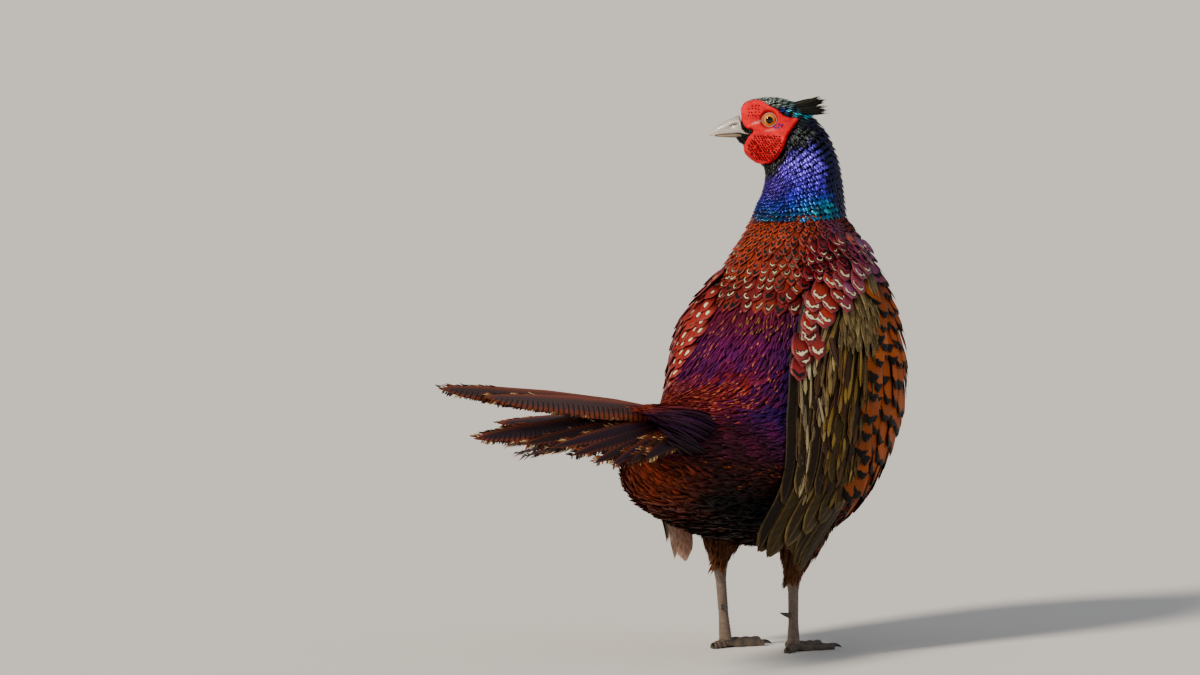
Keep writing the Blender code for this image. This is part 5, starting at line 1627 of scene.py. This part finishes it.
    # scapulars: the red flap with cream horseshoes, hanging from the shoulder
    u, v = layOut(
        where, (-0.10, flapEnd), (0.0, 1.06), ([0, 0.45], [12.5 * scale, 10.5 * scale], [10.0, 10.0]),
        seed=97,
    )
    keep = (v > flap(u + 0.05)) & (u > flapTop(v)) & (v < 1.0)
    u, v = u[keep], v[keep]
    look = scatter(
        draw, u, base, rows=7, length=(25 * scale, 1.5), half=8.0 * scale, root=-1.0,
        tip=((4.2 if side > 0 else 2.2), 0.5), tilt=0.1 * side, lean=(0.10, 0.08),
    )
    batch = featherCoat(where, u, v, look, seed=98)
    ground = blend("#84201A", "#A22C14", draw.uniform(size=len(u)), "#7A1820", ease(u, 0.1, 0.4) * 0.6)
    # painted sheen: a pinkish lilac laid over the flap's upper front
    gloss = ease(v, 0.7, 0.3) * ease(u, 0.2, 0.05)
    ground = blend(ground, "#9A5A98", gloss * draw.uniform(0.2, 0.9, len(u)))
    fringe = blend("#984450", "#742430", draw.uniform(size=len(u)))
    paint(batch, ground, fringe=fringe, mark="#F8ECC0", marking=u < flapEnd - 0.02, seed=99, vary=0.12)
    red.append(batch)
    if side > 0:  # mantle feathers carry on over the shoulder and cover the flap's roots
        u, v = layOut(where, (-0.13, 0.04), (0.04, 1.04), ([0, 1], [7.5, 7.5], [6.5, 6.5]), seed=151)
        keep = u < flapTop(v) + 0.01
        u, v = u[keep], v[keep]
        look = scatter(
            draw, u, base, length=(18, 1), half=5.0, root=-4.5, tip=(4.0, 0.4), tilt=0.1, lean=(0.05, 0.08),
        )
        batch = featherCoat(where, u, v, look, seed=152)
        # painted sheen: lilac over part of these feathers, as on the mantle's right side
        ground = blend(
            "#7A1418",
            "#8A4A88", ease(v, 0.7, 0.1) * draw.uniform(0.3, 1, len(u)),
            "#C85A10", (draw.uniform(size=len(u)) < 0.25) * ease(v, 0.7, 0.2),
        )
        paint(
            batch, ground, fringe="#7C2038", mark="#F6E8B8", marking=draw.uniform(size=len(u)) < 0.6,
            seed=153, vary=0.14,
        )
        coatPiece("shoulderFeathersRight", "mantle", [batch])
        # the flank's feathers overlap the folded wing's front edge
        u, v = layOut(where, (0.02, 0.66), (-0.10, 0.15), ([0, 1], [11.0, 11.0], [15.0, 17.0]), seed=161)
        look = scatter(
            draw, u, base, length=(33, 2), half=9.5, root=-3.0, tip=(3.0, 0.3), profile=broad, camber=0.05,
            tilt=-0.1, lean=(0, 0.06),
        )
        batch = featherCoat(where, u, v, look, seed=162)
        paint(
            batch, blend("#AC520C", "#6E2C08", draw.uniform(0, 0.5, len(u))), fringe="#0A0A14", seed=163,
            vary=0.12,
        )
        coatPiece("flankFeathersRight", "flank", [batch])
    coat = coatPiece("flightFeathers" + where.capitalize(), "flight", quills)
    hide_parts("wing_" + where)
    coatPiece("coverts" + where.capitalize(), "covert", dull)
    coatPiece("scapulars" + where.capitalize(), "scapular" if side > 0 else "teardrop", red)


makeWing(1)
makeWing(-1)


# Rings round a line: the frame comes from the axis that the line crosses most, and what would pass below the
# floor is flattened onto it
def tubeAlong(line, radius, floorAt=None):
    tangent = unit(np.gradient(line, axis=0))
    crossing = np.eye(3)[np.argmin(np.abs(line[-1] - line[0]))]
    sideways = unit(np.cross(tangent, crossing))
    lift = np.cross(sideways, tangent)
    angle = circle(radius.shape[1])
    outward = np.cos(angle)[:, None] * lift[:, None] + np.sin(angle)[:, None] * sideways[:, None]
    rings = line[:, None] + radius[..., None] * outward
    if floorAt is not None:
        rings[..., 2] = np.maximum(rings[..., 2], floorAt)
    return rings, outward


# A limb's tubes lie side by side on the map, and each has its faces turned outwards
def limbPiece(name, material, tubes, tints):
    packed = []
    for number, (rings, tint) in enumerate(zip(tubes, tints)):
        middle, far = rings[0].mean(axis=0), rings[-1].mean(axis=0)
        corners = np.stack([rings[0, 0] - middle, rings[0, rings.shape[1] // 4] - middle, far - middle])
        left, right = number / len(tubes) + 0.01, number / len(tubes) + 0.9 / len(tubes)
        packed.append(
            (rings, tint, np.linalg.det(corners) > 0, (left, right), (0.02, 0.98), (left, 0.01, 0.99))
        )
    return tubesPiece(name, material, packed)


# Scaly leg skin: matt, greyish brown, darker in the grooves between plates
legMaterial, tree, shader = newMaterial("scalyLegSkin", Roughness=0.5)
spot = add(tree, "TexCoord").outputs["Object"]
cells = add(tree, "TexVoronoi DISTANCE_TO_EDGE", spot, Scale=700.0)
mottle = add(tree, "MapRange", add(tree, "TexNoise", spot, Scale=350.0, Detail=3.0), 0.3, 0.7, 0.75, 1.15)
shade = add(tree, "Math MULTIPLY", add(tree, "MapRange", cells, 0.0, 0.12, 0.7, 1.0), mottle)
shade = add(tree, "CombineXYZ", shade, shade, shade)
finishMaterial(tree, shader, add(tree, "MixRGB MULTIPLY", 1.0, add(tree, "Attribute ground"), shade), cells)
# Dark claw horn: smooth and half glossy
clawMaterial, tree, shader = newMaterial("darkClawHorn", Roughness=0.35)
noise = add(tree, "TexNoise", add(tree, "TexCoord").outputs["Object"], Scale=500.0, Detail=3.0)
shade = add(tree, "MapRange", noise, 0.3, 0.7, 0.6, 1.1)
finishMaterial(tree, shader, add(tree, "MixRGB MULTIPLY", 1.0, add(tree, "Attribute ground"), shade))

legLook = {
    "tarsus": 4.3, "toe": 4.4, "plates": 22, "toePlate": 2.6,
    "toes": (("inner", -0.62, 34.0), ("middle", -0.06, 46.0), ("outer", 0.56, 37.0), ("hind", 2.95, 15.0)),
}


def sawTooth(value):
    return 1 - (value - np.floor(value))


def makeLeg(side, word):
    _, hock, foot = legPoints(side)
    share = np.linspace(0, 1, 160)
    line = hock + (foot - hock) * share[:, None]
    line[:, 1] += 3.0 * ease(share, 0.12, 0)
    angle = circle(40)
    base = legLook["tarsus"] * np.interp(
        share, [0, 0.1, 0.25, 0.7, 0.9, 1.0], [1.35, 1.3, 0.98, 0.92, 1.12, 1.2],
    )
    _, outward = tubeAlong(line, base[:, None] * np.ones(40))
    front = ease(outward[..., 1], 0.1, 0.7)
    rear = ease(-outward[..., 1], 0.3, 0.8)
    plates = sawTooth(share * legLook["plates"])[:, None]
    small = np.abs(np.sin(share * 110)[:, None] * np.sin(angle * 9)[None])
    radius = (
        base[:, None] + 0.55 * front * (plates - 0.4) + 0.3 * rear * (sawTooth(share * 30)[:, None] - 0.4)
        + 0.18 * small * (1 - front) * (1 - rear)
    )
    rings, _ = tubeAlong(line, radius)
    groove = np.clip(
        front * ease(plates, 0.2, 0.0) + 0.6 * rear * ease(sawTooth(share * 30)[:, None], 0.2, 0.0), 0, 1,
    )
    tint = blend(blend("#6A5C4C", "#4C3E34", groove), "#7E6A62", 0.4 * (1 - front))
    tubes, tints = [rings], [tint]
    claws, clawTints = [], []
    for toe, turned, length in legLook["toes"]:
        heading = np.array([math.sin(turned) * side, math.cos(turned), 0.0])
        steps = np.linspace(-0.06, 1, 90)
        path = foot + heading * length * steps[:, None]
        path[:, 2] = np.interp(steps, [0, 0.25, 1], [5.4, 3.4, 2.2])
        knuckle = 1 + 0.09 * np.cos(steps * math.pi * 6)
        wide = legLook["toe"] * np.interp(steps, [-0.06, 0, 1], [0.8, 1.0, 0.66]) * knuckle
        _, outward = tubeAlong(path, wide[:, None] * np.ones(28))
        above = ease(outward[..., 2], -0.1, 0.6)
        saw = sawTooth(steps * length / legLook["toePlate"])[:, None]
        pads = 0.25 * np.cos(steps * math.pi * 6)[:, None] * (1 - above)
        rings, _ = tubeAlong(path, wide[:, None] + 0.42 * above * (saw - 0.5) + pads, floorAt=0.0)
        tubes.append(rings)
        tints.append(blend("#5E5144", "#3C3028", above * ease(saw, 0.22, 0.0)))
        start = foot + heading * (length - 2.4)
        start[2] = 2.7
        reach = 6.5 if toe == "hind" else 10.4
        steps = np.linspace(0, 1, 30)
        path = start + heading * reach * steps[:, None]
        path[:, 2] += 1.5 * np.sin(math.pi * steps * 0.8) - 2.2 * steps**2
        wide = np.interp(steps, [0, 0.3, 0.8, 1], [1.9, 1.85, 0.9, 0.2])
        rings, _ = tubeAlong(path, wide[:, None] * np.ones(20), floorAt=0.15)
        claws.append(rings)
        clawTints.append(blend("#3A2E24", "#15100C", steps)[:, None])
    leg = limbPiece("leg" + word, legMaterial, tubes, tints)
    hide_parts("shank_" + word.lower())
    steps = np.linspace(0, 1, 30)
    root = hock + (foot - hock) * 0.60
    aimed = unit(np.array([-side * 0.45, -1.0, 0.12]))
    path = root + aimed * 14.0 * steps[:, None] + up * 2.0 * (steps**2)[:, None]
    wide = np.interp(steps, [0, 0.25, 0.5, 0.75, 1.0], [2.8, 2.4, 1.8, 1.1, 0.2])
    rings, _ = tubeAlong(path, wide[:, None] * np.ones(20))
    claws.append(rings)
    clawTints.append(blend("#6A5A4A", "#1E1610", steps)[:, None])
    horn = limbPiece("claws" + word, clawMaterial, claws, clawTints)
    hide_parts(*[f"claw_{word.lower()}_{toe[0]}" for toe in legLook["toes"]], "spur_" + word.lower())


makeLeg(1, "Right")
makeLeg(-1, "Left")
print("legs made")

tailTips = {
    1: (
        (4, -448, 244), (14, -481, 214), (23, -423, 205), (31, -391, 200), (37, -369, 192), (42, -341, 184),
        (46, -318, 181), (48, -294, 180), (47, -268, 181),
    ),
    -1: (
        (-5, -504, 255), (-14, -396, 218), (-24, -402, 209), (-32, -372, 202), (-38, -348, 195),
        (-43, -324, 186), (-46, -304, 182), (-48, -280, 182), (-47, -256, 182),
    ),
}
tailLook = {"root": (-158.0, 208.0), "halfWidth": 14.5, "barGap": 8.0, "barbGap": 2.6}


def makeTail():
    draw = default_rng(101)
    steps = np.linspace(0, 1, 44)
    batches, fringes = [], []
    for side in (-1, 1):
        share = np.arange(9) / 8
        tips = np.array(tailTips[side], float)
        roots = np.stack(
            [
                side * (4.0 + 22.0 * share), np.full(9, tailLook["root"][0]),
                tailLook["root"][1] + 1.0 - 20.0 * share**1.2,
            ],
            -1,
        )
        line = roots[:, None] + (tips - roots)[:, None] * steps[None, :, None]
        line[..., 2] += (3.0 * share)[:, None] * (4 * steps * (1 - steps))[None]
        bank = np.radians(
            36.0 + 20.0 * share if side > 0 else np.interp(share, [0, 0.13, 0.4, 1], [-42, -20, 30, 50])
        )
        normal = np.stack([side * np.sin(bank), 0 * bank, np.cos(bank)], -1)[:, None]
        profile = np.interp(steps, [0, 0.15, 0.45, 0.75, 0.93, 1.0], [0.5, 0.85, 1.0, 0.78, 0.40, 0.10])
        slender = np.interp(steps, [0, 0.15, 0.45, 0.75, 0.93, 1.0], [0.5, 0.95, 1.0, 0.60, 0.24, 0.04])
        profile = profile + (slender - profile) * ease(share, 0.1, 0.3)[:, None]
        half = (
            tailLook["halfWidth"] * np.interp(share, [0, 0.15, 0.3, 1], [1.0, 0.9, 0.60, 0.45])[:, None]
            * profile
        )
        bake = np.stack([0.5 + side * (0.03 + 0.05 * np.arange(9)), np.full(9, 0.1)], -1)
        look = {
            "columns": 9, "camber": 0.14, "fray": 0.002, "round": 0.02, "roundFrom": 0.9, "thick": 0.45,
            "share": steps,
        }
        batch = vanes(line, normal, half, bake, look, seed=102)
        length = np.linalg.norm(tips - roots, axis=-1)
        ground = blend(
            "#5E423C",
            "#4A302E", draw.uniform(size=9),
            blend("#30140C", "#281030", draw.uniform(size=9)), ease(share, 0.0, 0.2),
        )
        paint(
            batch, ground, fringe=blend("#96421A", "#50200E", share), mark="#0C0608",
            marking=length / tailLook["barGap"], seed=103 + side, vary=0.08,
        )
        batches.append(batch)
        # frayed barbs along both edges, where the vane's rim comes loose
        for feather in range(9):
            for edge in (-1, 1):
                at = np.sort(draw.uniform(0.22, 0.985, int(length[feather] / tailLook["barbGap"])))
                at = at[(at > 0.66) | (edge < 0) | (feather > 1)]  # the middle feathers' upper edge is whole
                number = len(at)
                shaft = np.stack([np.interp(at, steps, line[feather, :, axis]) for axis in range(3)], -1)
                wide = np.interp(at, steps, half[feather])
                along = unit(tips[feather] - roots[feather])
                across = unit(np.cross(along, normal[feather, 0]))
                flat = np.cross(across, along)
                start = shaft + across * (edge * wide * 0.86)[:, None] - flat * (0.14 * wide * 0.74)[:, None]
                reach = draw.uniform(5.0, 9.5, number) * np.interp(at, [0.2, 0.5, 1.0], [0.7, 1.0, 0.9])
                aimed = unit(
                    along * 0.9 + across * edge * 0.42 + flat * draw.normal(-0.04, 0.07, (number, 1))
                )
                bits = np.linspace(0, 1, 4)
                barb = (
                    start[:, None] + aimed[:, None] * (reach[:, None] * bits)[..., None]
                    - flat * (0.8 * bits**2)[None, :, None]
                )
                place = np.stack([np.full(number, 0.5 + side * (0.03 + 0.05 * feather)), 0.1 + 0.8 * at], -1)
                wisp = vanes(
                    barb, flat, np.array([0.55, 0.6, 0.42, 0.10]), place,
                    {"columns": 2, "thick": 0.25, "fray": 0.0}, seed=105,
                )
                # painted shade and highlights: each loose barb runs dark, rufous and cream by where it is lit
                lit = np.sin(at * length[feather] / 7.0 + feather * 1.7) + draw.normal(0, 0.5, number)
                tint = blend("#2A120C", "#A04A14", ease(lit, -0.2, 0.6), "#E8D090", ease(lit, 0.9, 1.5))
                paint(wisp, tint, fringe=blend(tint, "#F0DCA0", ease(lit, 0.4, 1.2)), seed=106)
                fringes.append(wisp)
    tail = coatPiece("tailFeathers", "tail", batches)
    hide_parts("tail")
    coatPiece("tailFringes", "hair", fringes)


# Tail coverts: long loose feathers from the rump's end, lying over the tail's root and along it
def makeTailCoverts():
    draw = default_rng(141)
    u, v = layOut(
        "torso", (11.0, 14.8), (-76 * degree, 76 * degree), ([11, 15], [3.4, 2.8], [3.4, 3.0]), seed=142,
        jitter=0.3,
    )
    keep = u > 11 + 2.6 * ease(np.abs(v) / degree, 22, 72)
    u, v = u[keep], v[keep]
    point, normal = frameAt(*surfaces["torso"], u, v)
    turned = v / degree
    length = 52 + 16 * ease(np.abs(turned), 100, 20) + draw.normal(0, 7, len(u))
    steps = np.linspace(0, 1, 7)
    root = point - normal * 4.0
    # the line leaves along the body and ends on an oval round the tail, which widens to its rear
    outward = np.stack([np.sin(v), 0 * v, np.cos(v)], -1)
    back = np.maximum(-158 - (root[:, 1] - length), 0)
    goal = np.stack([
        (31 + 0.19 * back) * np.sin(v * 0.92), root[:, 1] - length,
        193 + 0.04 * back + (17 + 0.04 * back) * np.cos(v * 0.92) - 12 * ease(np.abs(turned), 40, 90),
    ], -1) + draw.normal(0, 1.2, (len(u), 3))
    lifted = np.array([0.0, 0.35, 0.6, 0.7, 0.6, 0.4, 0.2])
    line = (
        root[:, None] + (goal - root)[:, None] * steps[None, :, None]
        + outward[:, None] * (7.0 - 4.0 * ease(np.abs(turned), 30, 80))[:, None, None] * lifted[None, :, None]
    )
    half = (1.7 + 0.6 * ease(np.abs(turned), 60, 0))[:, None] * np.interp(steps, *pointed)
    bake = np.stack([np.interp(v, [-2, 2], [0.02, 0.98]), np.interp(u, [11, 15], [0.02, 0.98])], -1)
    batch = vanes(
        line, outward[:, None], half, bake,
        {
            "columns": 3, "fray": 0.08, "camber": 0.2, "tilt": draw.normal(0, 0.3, len(u)), "thick": 0.3,
            "share": steps,
        },
        seed=143,
    )
    # painted shade: the right side, away from the light, turns from red to dark purple and loses its orange
    # tips
    ground = blend(
        "#7A1C10",
        "#983010", draw.uniform(size=len(u)),
        blend("#30081C", "#3A0C40", draw.uniform(size=len(u))), ease(turned, 4, 34),
        "#1A060A", ease(np.abs(turned), 50, 84),
    )
    tip = blend(
        ground * 1.3,
        "#C85A20", (draw.uniform(size=len(u)) < 0.4) * ease(turned, 50, 0),
        "#8A6A50", (draw.uniform(size=len(u)) < 0.10) * ease(turned, 60, 90),
    )
    paint(batch, ground, fringe=tip, seed=144, vary=0.2)
    coatPiece("tailCoverts", "hair", [batch])


makeTailCoverts()
makeTail()
print("coats made")
